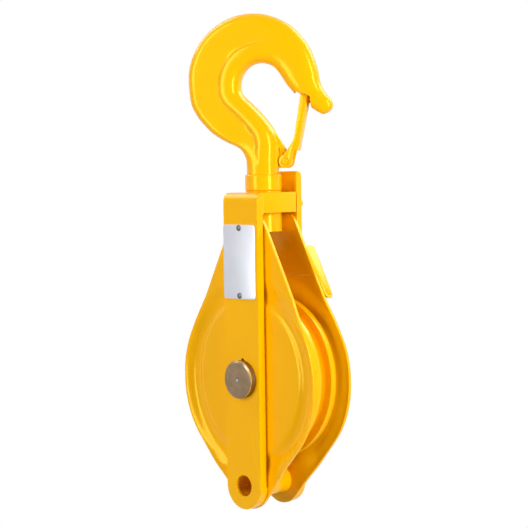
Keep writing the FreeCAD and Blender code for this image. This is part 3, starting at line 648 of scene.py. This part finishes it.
class PULLEY_OT_cheeks(bpy.types.Operator):
    """Press the two cheeks: raised middle, ring valley and flared rim"""

    bl_idname = "pulley.cheeks"
    bl_label = "Cheeks"

    def execute(self, context):
        for node, side in (("front_cheek", -1), ("rear_cheek", 1)):
            finish(cheek_sheet(node + "_pressing", side), "side_frame", node)
        return {"FINISHED"}


def lobed_bar(node):
    """A strap with its round lower lobe."""
    bar = box_between(node + "_bar", *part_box(node))
    foot = low(node).z + MM
    nearly_half = BAR_HALF * 0.998
    round_edges(bar, lambda m, d: runs_along(d, ALONG_Y) and m.z < foot, nearly_half, 24)
    return bar


def bore_bar(bar):
    """Bore a strap for the axle and at its tail."""
    bore(bar, AXLE, ALONG_Y, high("axle_pin").x + 0.02 * MM)
    bore(bar, TAIL, ALONG_Y, TAIL_HOLE)


class PULLEY_OT_straps(bpy.types.Operator):
    """Cut and round the straps, the crosshead, the spacer and the hinge tube"""

    bl_idname = "pulley.straps"
    bl_label = "Straps and Crosshead"

    def front_strap(self):
        strap = lobed_bar("front_strap")
        top = high("front_strap").z - MM
        face = low("front_strap").y
        back = high("front_strap").y
        round_edges(
            strap, lambda m, d: runs_along(d, ALONG_X) and m.z > top and m.y < face + MM,
            7 * MM, 10,
        )
        bore_bar(strap)
        dowel = middle("axle_dowel")
        bore(strap, Vector((dowel.x, face, dowel.z)), ALONG_Y, 1.6 * MM, 12 * MM)
        soften(strap, 1.1 * MM, 4)
        line_wide = 2.2 * MM
        line_deep = 1.1 * MM
        line_top = high("front_cheek").z + MM
        for near, far in (
            (-BAR_HALF, line_wide - BAR_HALF), (BAR_HALF - line_wide, BAR_HALF + MM)
        ):
            lowest = (near, back - line_deep, TAIL.z)
            combine(strap, box_between("seam_line", lowest, (far, back + MM, line_top)))
        finish(strap, "side_frame", "front_strap")

    def execute(self, context):
        self.front_strap()
        crosshead = box_between("crosshead_block", *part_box("crosshead"))
        bore(crosshead, Vector((0, 0, middle("crosshead").z)), ALONG_Z, 10.05 * MM)
        stud = Vector((0, high("crosshead").y, middle("keeper_stud").z))
        bore(crosshead, stud, ALONG_Y, 4.02 * MM, 18 * MM)
        soften(crosshead, 0.7 * MM)
        finish(crosshead, "side_frame", "crosshead")

        barrel = high("hinge_tube").z - HINGE.z
        rear = lobed_bar("rear_strap")
        bore_bar(rear)
        bore(rear, HINGE, ALONG_X, barrel)
        soften(rear, 0.9 * MM)
        finish(rear, "side_frame", "rear_strap")

        spacer = rod("tail_spacer_tube", TAIL, ALONG_Y, SPACER, 2 * high("tail_spacer").y)
        bore(spacer, TAIL, ALONG_Y, TAIL_HOLE)
        shade(spacer)
        finish(spacer, "side_frame", "tail_spacer")

        tube = rod("hinge_tube_barrel", HINGE, ALONG_X, barrel, 2 * high("hinge_tube").x)
        bore(tube, HINGE, ALONG_X, high("hinge_pin").z - HINGE.z + 0.05 * MM)
        soften(tube, 0.4 * MM, 2)
        finish(tube, "side_frame", "hinge_tube")
        return {"FINISHED"}


class PULLEY_OT_wheel(bpy.types.Operator):
    """Turn the grooved rope wheel"""

    bl_idname = "pulley.wheel"
    bl_label = "Rope Wheel"

    def execute(self, context):
        rim = high("sheave").x
        half_rim = 12.2 * MM
        half_web = 4 * MM
        half_hub = high("sheave").y
        rim_inside = 55 * MM
        hub = 27 * MM
        seat = 5.7 * MM
        seat_centre = 65.2 * MM
        groove = list(arc(seat_centre, 0, seat, radians(270), radians(90), 24))
        side = [
            (rim - 0.9 * MM, seat + 0.15 * MM), (rim - 0.25 * MM, seat + 0.4 * MM),
            (rim, seat + 1.1 * MM), (rim, half_rim - 0.9 * MM),
            (rim - 0.3 * MM, half_rim - 0.25 * MM), (rim - 1.0 * MM, half_rim),
            (rim_inside, half_rim), (rim_inside - 0.9 * MM, half_rim - 0.5 * MM),
            (rim_inside - 4.4 * MM, half_web + 0.7 * MM), (rim_inside - 5.2 * MM, half_web),
            (hub + 2.6 * MM, half_web), (hub + 0.7 * MM, half_web + 0.9 * MM),
            (hub, half_web + 2.6 * MM), (hub, half_hub - 0.6 * MM),
            (hub - 0.5 * MM, half_hub), (high("sheave_bush").x, half_hub),
        ]
        profile = groove + side + [(radius, -along) for radius, along in reversed(side)]
        wheel = turned("rope_wheel_casting", profile, AXLE, 180)
        shade(wheel, 28)
        finish(wheel, "rope_wheel", "sheave", slot="wheel_paint")
        return {"FINISHED"}


class PULLEY_OT_axle(bpy.types.Operator):
    """Turn the bare axle with its centre mark"""

    bl_idname = "pulley.axle"
    bl_label = "Axle"

    def execute(self, context):
        radius = high("axle_pin").x
        face = low("axle_pin").y
        end = high("axle_pin").y
        groove = low("axle_ring").y
        groove_end = high("axle_ring").y + 0.1 * MM
        seat = 14.9 * MM
        mark = 1.9 * MM
        nearly_zero = 0.0005 * MM
        profile = [
            (nearly_zero, face + 1.7 * MM), (mark, face), (mark + 0.2 * MM, face),
            (radius - 1.7 * MM, face), (radius - 0.1 * MM, face + 0.9 * MM),
            (radius, face + 1.3 * MM), (radius, groove), (seat, groove), (seat, groove_end),
            (radius, groove_end), (radius, end - 0.6 * MM), (radius - 0.6 * MM, end),
            (nearly_zero, end),
        ]
        pin = turned("axle_bar", profile, AXLE)
        shade(pin, 25)
        finish(pin, "side_frame", "axle_pin", slot="steel", look="turned_steel")
        yellow_side, painted_hole_shade = 1, 2
        pin.data.materials.append(material_of("enamel"))
        pin.data.materials.append(material_of("hardened_steel_and_hole_shade"))
        for polygon in pin.data.polygons:
            out = (polygon.center - AXLE).xz.length
            if polygon.center.y > -INNER_FACE:
                continue
            # The shallow centre mark gets the dark steel: painted shade of a deep hole.
            if out < mark:
                polygon.material_index = painted_hole_shade
            # The pin's round side, from the strap's back outwards, takes the yellow enamel.
            if out > radius - 0.3 * MM and not runs_along(polygon.normal, ALONG_Y, 0.3):
                polygon.material_index = yellow_side
        return {"FINISHED"}


GATE_INNER = low("gate_bar").y - CHEEK["thick"]


class PULLEY_OT_gate(bpy.types.Operator):
    """Bend the gate plate with its ears and cut the slotted gate bar"""

    bl_idname = "pulley.gate"
    bl_label = "Gate"

    def ear(self, hand):
        """One bent ear: its side view is pushed across and trimmed to the sheet's thickness."""
        tip = 29.7 * MM
        boss = HINGE.z - low("gate_plate").z
        top = AXLE.z + 111 * MM
        corners = [(GATE_INNER, SEAM_LINE), (GATE_INNER, top), (tip, top)]
        corners += arc(HINGE.y, HINGE.z, boss, 0, -pi, 20)
        corners.append((HINGE.y - boss, SEAM_LINE))
        outline = [Vector((hand * 15 * MM, y, z)) for y, z in corners]
        ear = prism("ear", outline, Vector((hand * 90 * MM, 0, 0)))
        normal = Vector((hand * cos(CHEEK["slope"]), 0, sin(CHEEK["slope"])))
        for reach, outer in ((CHEEK["round"], True), (CHEEK["round"] - CHEEK["thick"], False)):
            start_editing(ear)
            bpy.ops.mesh.bisect(
                plane_co=AXLE + normal * reach, plane_no=normal, use_fill=True,
                clear_outer=outer, clear_inner=not outer,
            )
            stop_editing()
        face_outwards(ear)
        return ear

    def execute(self, context):
        slope = CHEEK["slope"]
        seam = SEAM_LINE - AXLE.z
        edge = (CHEEK["round"] - seam * sin(slope)) / cos(slope)
        within = 110 * MM
        outline = [point for point in cheek_outline() if point[1] > seam + 2 * MM]
        outline.sort(key=lambda point: atan2(point[0], point[1] - within))
        outline = [(-edge, seam), *outline, (edge, seam)]
        points = [Vector((x, GATE_INNER, AXLE.z + z)) for x, z in outline]
        plate = prism("gate_plate_sheet", points, Vector((0, CHEEK["thick"], 0)))
        for hand in (1, -1):
            combine(plate, self.ear(hand), "UNION")
        bore(plate, HINGE, ALONG_X, high("hinge_pin").z - HINGE.z + 0.02 * MM)
        soften(plate, 0.6 * MM, 3, 40)
        finish(plate, "gate", "gate_plate")

        bar = box_between("gate_bar_strap", *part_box("gate_bar"))
        top = high("gate_bar").z - MM
        back = high("gate_bar").y - MM
        round_edges(
            bar, lambda m, d: runs_along(d, ALONG_X) and m.z > top and m.y > back, 4.6 * MM, 8
        )
        half = Vector((14.2 * MM, 20 * MM, 5.4 * MM))
        slot = box_between("slot", BUTTON - half, BUTTON + half)
        round_edges(slot, lambda m, d: runs_along(d, ALONG_Y), 5.2 * MM, 8)
        combine(bar, slot)
        soften(bar, 0.8 * MM)
        finish(bar, "gate", "gate_bar")
        return {"FINISHED"}


class PULLEY_OT_button(bpy.types.Operator):
    """Shape the turn button that locks the gate"""

    bl_idname = "pulley.button"
    bl_label = "Turn Button"

    def execute(self, context):
        button = box_between("turn_button_bar", *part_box("keeper_button"))
        round_edges(button, lambda m, d: runs_along(d, ALONG_Y), 3.2 * MM, 10)
        bore(button, BUTTON, ALONG_Y, 3.05 * MM)
        soften(button, 0.5 * MM)
        finish(button, "turn_button", "keeper_button")
        return {"FINISHED"}


# Hook: millimetres, in the hook's own plane about the bowl's centre
def hook_prism(name, outline, start, depth):
    """An outline of (along, up) pushed across the hook's plane."""
    return prism(name, [hook_spot(x, start, z) for x, z in outline], hook_spot(0, depth, 0))


def bow_point(angle):
    """Where a ray from the bowl's centre meets the outer bow."""
    back = 8.4
    up = 3.8
    bow = 57.5
    cosine = cos(angle)
    sine = sin(angle)
    along = -back * cosine + up * sine
    reach = along + sqrt(along * along - (back * back + up * up - bow * bow))
    return (reach * cosine, reach * sine)


def hook_stations():
    """Outer point, inner point, thickness and share of the forged section, in the hook's plane."""
    shank = 13.4
    bowl = 18.9
    stations = [
        ((-shank, -76.2), (shank, -76.2), 26.8, 0),
        ((-shank, -68.2), (shank, -68.2), 26.8, 0),
        ((-14.8, -60.3), (13.6, -59), 26.4, 0.35),
        ((-20.3, -52.8), (14, -50), 25.5, 0.7),
        ((-32.5, -47), (11.5, -39.5), 24.5, 1),
        ((-44, -40), (3, -27.3), 24, 1),
        ((-52.6, -31.6), (-8.5, -15.3), 23.7, 1),
        ((-58.5, -24), (-15.5, -9), 23.4, 1),
    ]
    for degrees, thick, share in (
        (190, 23, 1), (165, 22.5, 1), (140, 22, 1), (115, 22, 1),
        (90, 21.5, 0.8), (64, 21, 0.35), (39, 20, 0.1),
    ):
        angle = radians(degrees)
        inner = (bowl * cos(angle), bowl * sin(angle))
        stations.append((bow_point(angle), inner, thick, share))
    stations += [
        ((48.8, 13.8), (22.3, 0.6), 19.5, 0),
        ((50.6, 4.2), (28.7, -6.8), 18.5, 0),
        ((52.9, -2.6), (34.5, -12.2), 17, 0),
        ((56.4, -8.2), (41.5, -18), 15.5, 0),
        ((60.4, -12.6), (48.3, -22.6), 13.5, 0),
        ((62.2, -17.2), (53.5, -25.1), 10, 0),
        ((61.7, -20.4), (57.7, -24.1), 4.5, 0),
    ]
    return [(*outer, *inner, thick, share) for outer, inner, thick, share in stations]


def between_stations(stations, steps):
    """Smooth stations between the given ones."""
    smooth = []
    for index in range(len(stations) - 1):
        before = stations[max(index - 1, 0)]
        first = stations[index]
        second = stations[index + 1]
        after = stations[min(index + 2, len(stations) - 1)]
        for part in range(steps):
            t = part / steps
            smooth.append([
                0.5 * (
                    2 * b + (c - a) * t + (2 * a - 5 * b + 4 * c - d) * t * t
                    + (3 * b - a - 3 * c + d) * t ** 3
                )
                for a, b, c, d in zip(before, first, second, after)
            ])
    smooth.append(list(stations[-1]))
    return smooth


def forged_half(distance, width, thick):
    """Half thickness of the forging at a distance from its inner edge: roll, crease, then flat."""
    shape = bpy.context.scene.pulley_hook
    belly = min(shape.belly / MM, width * 0.55)
    flat = min(shape.flat_half / MM, thick / 2)
    crown = belly * 0.52
    edge = min(shape.outer_round / MM, width * 0.3)
    if distance < crown:
        half = thick / 2 * sqrt(max(1 - ((crown - distance) / crown) ** 2, 0))
    elif distance < belly:
        share = (distance - crown) / (belly - crown)
        half = flat + (thick / 2 - flat) * sqrt(max(1 - share ** 2.6, 0))
    else:
        half = flat
    left = width - distance
    if left < edge:
        half *= sqrt(max(1 - ((edge - left) / edge) ** 2.2, 0))
    return half


def creased_place(amount, belly):
    """Place across the section for an amount from 0 to 1, right on the crease at half way."""
    if amount < 0.5:
        return belly * (1 - cos(pi * amount))
    return belly + (1 - belly) * sin(pi * (amount - 0.5))


def hook_ring(x0, z0, x1, z1, thick, share):
    """One closed section of the hook, from its inner edge over one face and back over the other."""
    count = 88
    width = hypot(x0 - x1, z0 - z1)
    belly = min(bpy.context.scene.pulley_hook.belly / MM / width, 0.55)
    power = 2 / 2.5
    ring = []
    for index in range(count):
        angle = 2 * pi * index / count
        cosine = cos(angle)
        sine = sin(angle)
        rolled = (1 - copysign(abs(cosine) ** power, cosine)) / 2
        plain = thick / 2 * abs(sine) ** power
        even = creased_place(min(index, count - index) / (count / 2), belly)
        place = rolled + (even - rolled) * share
        half = plain + (forged_half(place * width, width, thick) - plain) * share
        x = x1 + (x0 - x1) * place
        z = z1 + (z0 - z1) * place
        ring.append(hook_spot(x, copysign(half, sine), z))
    return ring


LUG = {
    "round": 5.5,
    "half": 2.7,
    "top_out": 9.7,
    "top_up": -36,
    "thin_from": 15.5,
    "thin_up": (-46, -57),
    "sunk": 0.3,
    "flare": 13,
}
NECK_EDGE = [(-27.3, 3), (-39.5, 11.5), (-50, 14), (-59, 13.6), (-76, 13.4)]


def neck_edge(up):
    """Where the neck's inner edge is at a height."""
    for (above, first), (below, second) in zip(NECK_EDGE, NECK_EDGE[1:]):
        if above >= up >= below:
            return first + (second - first) * (above - up) / (above - below)
    raise RuntimeError("no neck at that height")


def lug_levels(pivot):
    """Outer edge and height of the lug's sections, down its slope and round the rivet."""
    away = Vector((LUG["top_out"] - pivot.x, LUG["top_up"] - pivot.z))
    touch = atan2(away.y, away.x) - acos(LUG["round"] / away.length)
    levels = list(arc(pivot.x, pivot.z, LUG["round"], touch, radians(-88), 12))
    foot = levels[0]
    slope = (foot[0] - LUG["top_out"]) / (foot[1] - LUG["top_up"])
    rise = [LUG["top_up"] + (foot[1] - LUG["top_up"]) * index / 8 for index in range(8)]
    return [(LUG["top_out"] + slope * (up - LUG["top_up"]), up) for up in rise] + levels


def lug_ring(out, up):
    """One level section of the lug: a rounded edge, thin flanks and a flare into the shank."""
    half = LUG["half"]
    flare = LUG["flare"]
    centre = neck_edge(up) - LUG["sunk"] - flare
    thin = step(*LUG["thin_up"], up)
    root = (out - half) * (1 - thin) + min(LUG["thin_from"], out - half) * thin
    reach = hypot(root - centre, half)
    meet = atan2(half, root - centre) + acos(min(flare / reach, 1))
    flank = [
        (root, half),
        (centre + flare * cos(meet), flare * sin(meet)),
        (centre, flare / 2),
    ]
    edge = list(arc(out - half, 0, half, radians(-90), radians(90), 10))
    places = edge + flank + [(x, -y) for x, y in reversed(flank)]
    return [hook_spot(x, y, up) for x, y in places]


class PULLEY_OT_hook(bpy.types.Operator):
    """Draw out the forged hook section by section, with its collar, lug and notch"""

    bl_idname = "pulley.hook"
    bl_label = "Hook"

    def execute(self, context):
        pivot = LATCH_PIVOT / MM
        stations = between_stations(hook_stations(), 4)
        forging = grown("hook_forging", [hook_ring(*station) for station in stations])
        self.cut_notch(forging, pivot)
        soften(forging, 0.8 * MM, 3, 45)
        shade(forging, 50)
        finish(forging, "hook_body", "hook", look="forged_enamel")

        collar_low = high("thrust_washer").z + 0.1 * MM
        collar_tall = 13.8 * MM
        centre = Vector((0, 0, collar_low + collar_tall / 2))
        collar = rod("hook_collar", centre, ALONG_Z, 15.5 * MM, collar_tall)
        soften(collar, 1.2 * MM, 4)
        finish(collar, "hook_body", look="forged_enamel")

        nut_low = low("shank_nut").z
        stem_top = collar_low + 2 * MM
        centre = Vector((0, 0, (stem_top + nut_low) / 2))
        stem = rod("hook_stem", centre, ALONG_Z, 10 * MM, stem_top - nut_low)
        soften(stem, 0.5 * MM, 2)
        finish(stem, "hook_body", slot="steel", look="bright_steel")

        lug = grown("latch_lug", [lug_ring(*level) for level in lug_levels(pivot)])
        soften(lug, 0.5 * MM, 2, 50)
        finish(lug, "hook_body", look="forged_enamel")

        centre = middle("shank_nut")
        nut = rod("round_nut", centre, ALONG_Z, 15.4 * MM, high("shank_nut").z - nut_low)
        bore(nut, centre, ALONG_Z, 10.02 * MM, 100 * MM)
        bore(nut, Vector((0, 0, middle("nut_lock_pin").z)), hook_spot(1, 0, 0), 2.02 * MM, 100 * MM)
        soften(nut, 0.9 * MM)
        finish(nut, "hook_body", "shank_nut", look="forged_enamel")
        return {"FINISHED"}

    def cut_notch(self, forging, pivot):
        """Cut the notch that the latch's end closes into, on an arc about the rivet."""
        swing = 59.2
        inside = 29
        wall = 44.5
        below = -40
        start = acos((wall - pivot.x) / swing)
        end = acos((inside - pivot.x) / swing)
        corners = [(inside, below), (wall, below), *arc(pivot.x, pivot.z, swing, start, end, 8)]
        notch = hook_prism("notch", corners, -25, 30.5)
        lowest, highest = -10.2 * MM, -9.5 * MM
        round_edges(
            notch, lambda m, d: runs_along(d, LATCH_AXIS) and lowest < m.z < highest, 1.2 * MM, 5
        )
        combine(forging, notch)


class PULLEY_OT_latch(bpy.types.Operator):
    """Fold the latch channel and set its rivet and spring"""

    bl_idname = "pulley.latch"
    bl_label = "Latch"

    def channel(self, pivot, half):
        """The channel's side view pushed across, hollowed from behind."""
        ear = 5.6
        sheet = 1.5
        top = -9.6
        lean = 42
        deep = 7
        step_in = 3.4
        bend_reach = 2.7
        clear = 12
        foot = (pivot.x + 11.1, pivot.z + 8.8)
        bend = Vector((pivot.x + 7.8, pivot.z + 18.5))
        side = [(lean - deep, top), (lean, top), foot, (foot[0] - step_in, foot[1])]
        side += arc(pivot.x, pivot.z, ear, 0, radians(-259), 26)
        below = bend + (Vector(side[-1]) - bend).normalized() * bend_reach
        above = bend + (Vector(side[0]) - bend).normalized() * bend_reach
        for t in (index / 6 for index in range(7)):
            side.append(below.lerp(bend, t).lerp(bend.lerp(above, t), t))
        latch = hook_prism("latch_channel", side, -half, 2 * half)
        slope = (lean - foot[0]) / (top - foot[1])

        def on_back(place, direction):
            local = HOOK_TURN.transposed() @ place / MM
            back = foot[0] + slope * (local.z - foot[1])
            between = foot[1] < local.z < top
            return abs(local.x - back) < 0.3 and between and runs_along(direction, ALONG_Z)

        round_edges(latch, on_back, 1.3 * MM, 6)
        inner = [
            (lean - sheet * (1 + slope), top - sheet),
            (foot[0] - sheet, foot[1]),
            (foot[0] + 8, foot[1]),
            (foot[0] + 8, pivot.z - clear),
            (pivot.x - clear, pivot.z - clear),
            (pivot.x - clear, top - sheet),
        ]
        room = half - sheet
        combine(latch, hook_prism("hollow", inner, -room, 2 * room))
        bore(latch, hook_spot(*pivot), LATCH_AXIS, 2.02 * MM, 100 * MM)
        soften(latch, 0.35 * MM, 2, 45)
        finish(latch, "latch", "hook_latch")

    def rivet(self, pivot, half):
        head_tall = 0.98
        rivet = rod("latch_rivet", hook_spot(*pivot), LATCH_AXIS, 2 * MM, 2 * half * MM, 48)
        for sign in (-1, 1):
            centre = hook_spot(pivot.x, sign * (half + 0.45), pivot.z)
            head = rod("head", centre, LATCH_AXIS, 2.9 * MM, head_tall * MM, 48)
            combine(rivet, head, "UNION")
        soften(rivet, 0.5 * MM, 4)
        finish(rivet, "hook_body", "latch_pin")

    def spring(self, pivot):
        """A wire coiled round the rivet, one leg up the lug and one up the latch."""
        wire = 0.55
        coil = 3.3
        turns = 2.25
        steps = 40
        path = [
            (pivot.x - coil - 1.1, -3.7, pivot.z + 11.5),
            (pivot.x - coil, -3.3, pivot.z + 1.5),
        ]
        for index in range(steps + 1):
            angle = pi - 2 * pi * turns * index / steps
            over = -3.0 - 0.5 * index / steps
            path.append((pivot.x + coil * cos(angle), over, pivot.z + coil * sin(angle)))
        path.append((pivot.x + coil + 3.4, -3.5, pivot.z + 12))
        spring = tube("latch_torsion_spring", [hook_spot(*point) for point in path], wire * MM)
        finish(spring, "hook_body", "latch_spring", slot="spring_steel")

    def execute(self, context):
        pivot = LATCH_PIVOT / MM
        half = 5.2
        self.channel(pivot, half)
        self.rivet(pivot, half)
        self.spring(pivot)
        return {"FINISHED"}


def tube(name, path, radius, sides=8):
    """A round wire along a path of places."""
    rings = []
    for index, point in enumerate(path):
        ahead = path[min(index + 1, len(path) - 1)] - path[max(index - 1, 0)]
        ahead.normalize()
        first = (LATCH_AXIS - ahead * LATCH_AXIS.dot(ahead)).normalized() * radius
        second = ahead.cross(first)
        angles = [2 * pi * side / sides for side in range(sides)]
        rings.append([point + first * cos(angle) + second * sin(angle) for angle in angles])
    piece = grown(name, rings)
    shade(piece, 60)
    return piece


class PULLEY_OT_name_plate(bpy.types.Operator):
    """Lay the bare name plate and its two rivets"""

    bl_idname = "pulley.name_plate"
    bl_label = "Name Plate"

    def execute(self, context):
        plate = box_between("bare_name_plate", *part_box("name_plate"))
        round_edges(plate, lambda m, d: runs_along(d, ALONG_Y), 2.5 * MM, 8)
        soften(plate, 0.2 * MM, 2)
        finish(plate, "side_frame", "name_plate", slot="plate", look="bare_plate")
        inset = 2.5 * MM
        flatness = 0.42
        for level in (high("plate_rivets").z - inset, low("plate_rivets").z + inset):
            deselect()
            bpy.ops.mesh.primitive_uv_sphere_add(segments=32, ring_count=16, radius=2.6 * MM)
            head = named("plate_rivet_head")
            head.scale = (1, flatness, 1)
            head.location = (middle("plate_rivets").x, low("name_plate").y, level)
            bpy.ops.object.transform_apply()
            shade(head, 60)
            finish(head, "side_frame", slot="rivet", look="dark_rivet")
        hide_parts("plate_rivets")
        return {"FINISHED"}


SMALL_PARTS = {
    "enamel": ("thrust_washer", "nut_lock_pin", "hinge_pin", "keeper_stud"),
    "hardened_steel_and_hole_shade": ("axle_dowel", "axle_ring"),
    "nipple_brass": ("grease_nipple",),
    "bush_bronze": ("front_hub_washer", "rear_hub_washer", "sheave_bush"),
    "bright_steel": ("keeper_washer",),
}


class PULLEY_OT_small_parts(bpy.types.Operator):
    """Finish the small pieces that keep their CAD shape"""

    bl_idname = "pulley.small_parts"
    bl_label = "Small Parts"

    def execute(self, context):
        for look, nodes in SMALL_PARTS.items():
            for node in nodes:
                dress(frame["nodes"][node], look)
        return {"FINISHED"}


class PULLEY_OT_stage(bpy.types.Operator):
    """Set the floor, the lamps, the world and the camera"""

    bl_idname = "pulley.stage"
    bl_label = "Stage"

    def lamp(self, name, azimuth, elevation, size, power):
        """An area lamp facing the block, its angles in degrees from +X."""
        lamp_distance = 1.5
        over_axle = 0.09
        turn = radians(azimuth)
        rise = radians(elevation)
        away = Vector((cos(rise) * cos(turn), cos(rise) * sin(turn), sin(rise)))
        target = AXLE + Vector((0, 0, over_axle))
        deselect()
        bpy.ops.object.light_add(type="AREA", location=target + away * lamp_distance)
        lamp = named(name)
        lamp.data.shape = "RECTANGLE"
        lamp.data.size, lamp.data.size_y = size
        lamp.data.energy = power
        lamp.rotation_mode = "QUATERNION"
        lamp.rotation_quaternion = (-away).to_track_quat("-Z", "Y")

    def camera(self, context, settings):
        """The photograph's camera, and Blender's plain colours."""
        aside = -0.57 * MM
        turn = Matrix.Rotation(settings.azimuth, 3, "Z")
        turn = turn @ Matrix.Rotation(pi / 2 - settings.pitch, 3, "X")
        turn = turn @ Matrix.Rotation(settings.roll, 3, "Z")
        target = AXLE + Vector((aside, 0, settings.aim))
        deselect()
        bpy.ops.object.camera_add(location=target + turn @ Vector(ALONG_Z) * settings.distance)
        camera = named("photo_camera")
        camera.data.lens = settings.lens
        camera.data.sensor_width = 36
        camera.data.clip_end = 50
        camera.rotation_mode = "QUATERNION"
        camera.rotation_quaternion = turn.to_quaternion()
        context.scene.camera = camera
        context.scene.view_settings.view_transform = "Standard"

    def execute(self, context):
        settings = context.scene.pulley_stage
        floor_level = CAD_BOX[0][2] - settings.floor_drop
        deselect()
        bpy.ops.mesh.primitive_plane_add(size=30, location=(0, 0, floor_level))
        floor = named("pale_floor")
        floor.data.materials.append(stage_material("pale_floor", (0.8, 0.8, 0.8)))

        self.lamp("right_softbox", azimuth=-5, elevation=10, size=(0.4, 1.3), power=27)
        self.lamp("front_softbox", azimuth=-99, elevation=10, size=(0.5, 1.2), power=16)
        self.lamp("back_softbox", azimuth=70, elevation=45, size=(1.0, 1.0), power=16)
        self.lamp("left_softbox", azimuth=195, elevation=45, size=(1.0, 1.0), power=11)

        world = bpy.data.worlds.new("studio")
        world.use_nodes = True
        context.scene.world = world
        dim = world.node_tree.nodes["Background"]
        feed(world, dim, "Color", (1, 1, 1, 1))
        feed(world, dim, "Strength", 0.04)
        bright = add_node(world, "ShaderNodeBackground", Color=(1, 1, 1, 1), Strength=1)
        hidden = dim.outputs["Background"]
        split_by_ray(world, hidden, bright.outputs["Background"], "World Output")
        self.camera(context, settings)
        return {"FINISHED"}


class PULLEY_PT_panel(bpy.types.Panel):
    """Lists the steps that build the pulley block"""

    bl_idname = "PULLEY_PT_panel"
    bl_label = "Hook Pulley Block"
    bl_space_type = "VIEW_3D"
    bl_region_type = "UI"
    bl_category = "Pulley Block"

    def draw(self, context):
        for group in ("pulley_enamel", "pulley_hook", "pulley_cheek", "pulley_stage"):
            box = self.layout.box()
            settings = getattr(context.scene, group)
            for name in settings.__annotations__:
                box.prop(settings, name)
        for operator in OPERATORS:
            self.layout.operator(operator.bl_idname)


OPERATORS = (
    PULLEY_OT_straps,
    PULLEY_OT_cheeks,
    PULLEY_OT_wheel,
    PULLEY_OT_axle,
    PULLEY_OT_gate,
    PULLEY_OT_button,
    PULLEY_OT_hook,
    PULLEY_OT_latch,
    PULLEY_OT_name_plate,
    PULLEY_OT_small_parts,
    PULLEY_OT_stage,
)
GROUPS = {
    "pulley_enamel": EnamelSettings,
    "pulley_hook": HookSettings,
    "pulley_cheek": CheekSettings,
    "pulley_stage": StageSettings,
}


def register():
    for name, group in GROUPS.items():
        bpy.utils.register_class(group)
        setattr(bpy.types.Scene, name, PointerProperty(type=group))
    for made in (*OPERATORS, PULLEY_PT_panel):
        bpy.utils.register_class(made)


def unregister():
    for made in (*OPERATORS, PULLEY_PT_panel):
        bpy.utils.unregister_class(made)
    for name, group in GROUPS.items():
        delattr(bpy.types.Scene, name)
        bpy.utils.unregister_class(group)


def main():
    register()
    for operator in OPERATORS:
        group, name = operator.bl_idname.split(".")
        getattr(getattr(bpy.ops, group), name)()
    deselect()


if __name__ == "__main__":
    main()
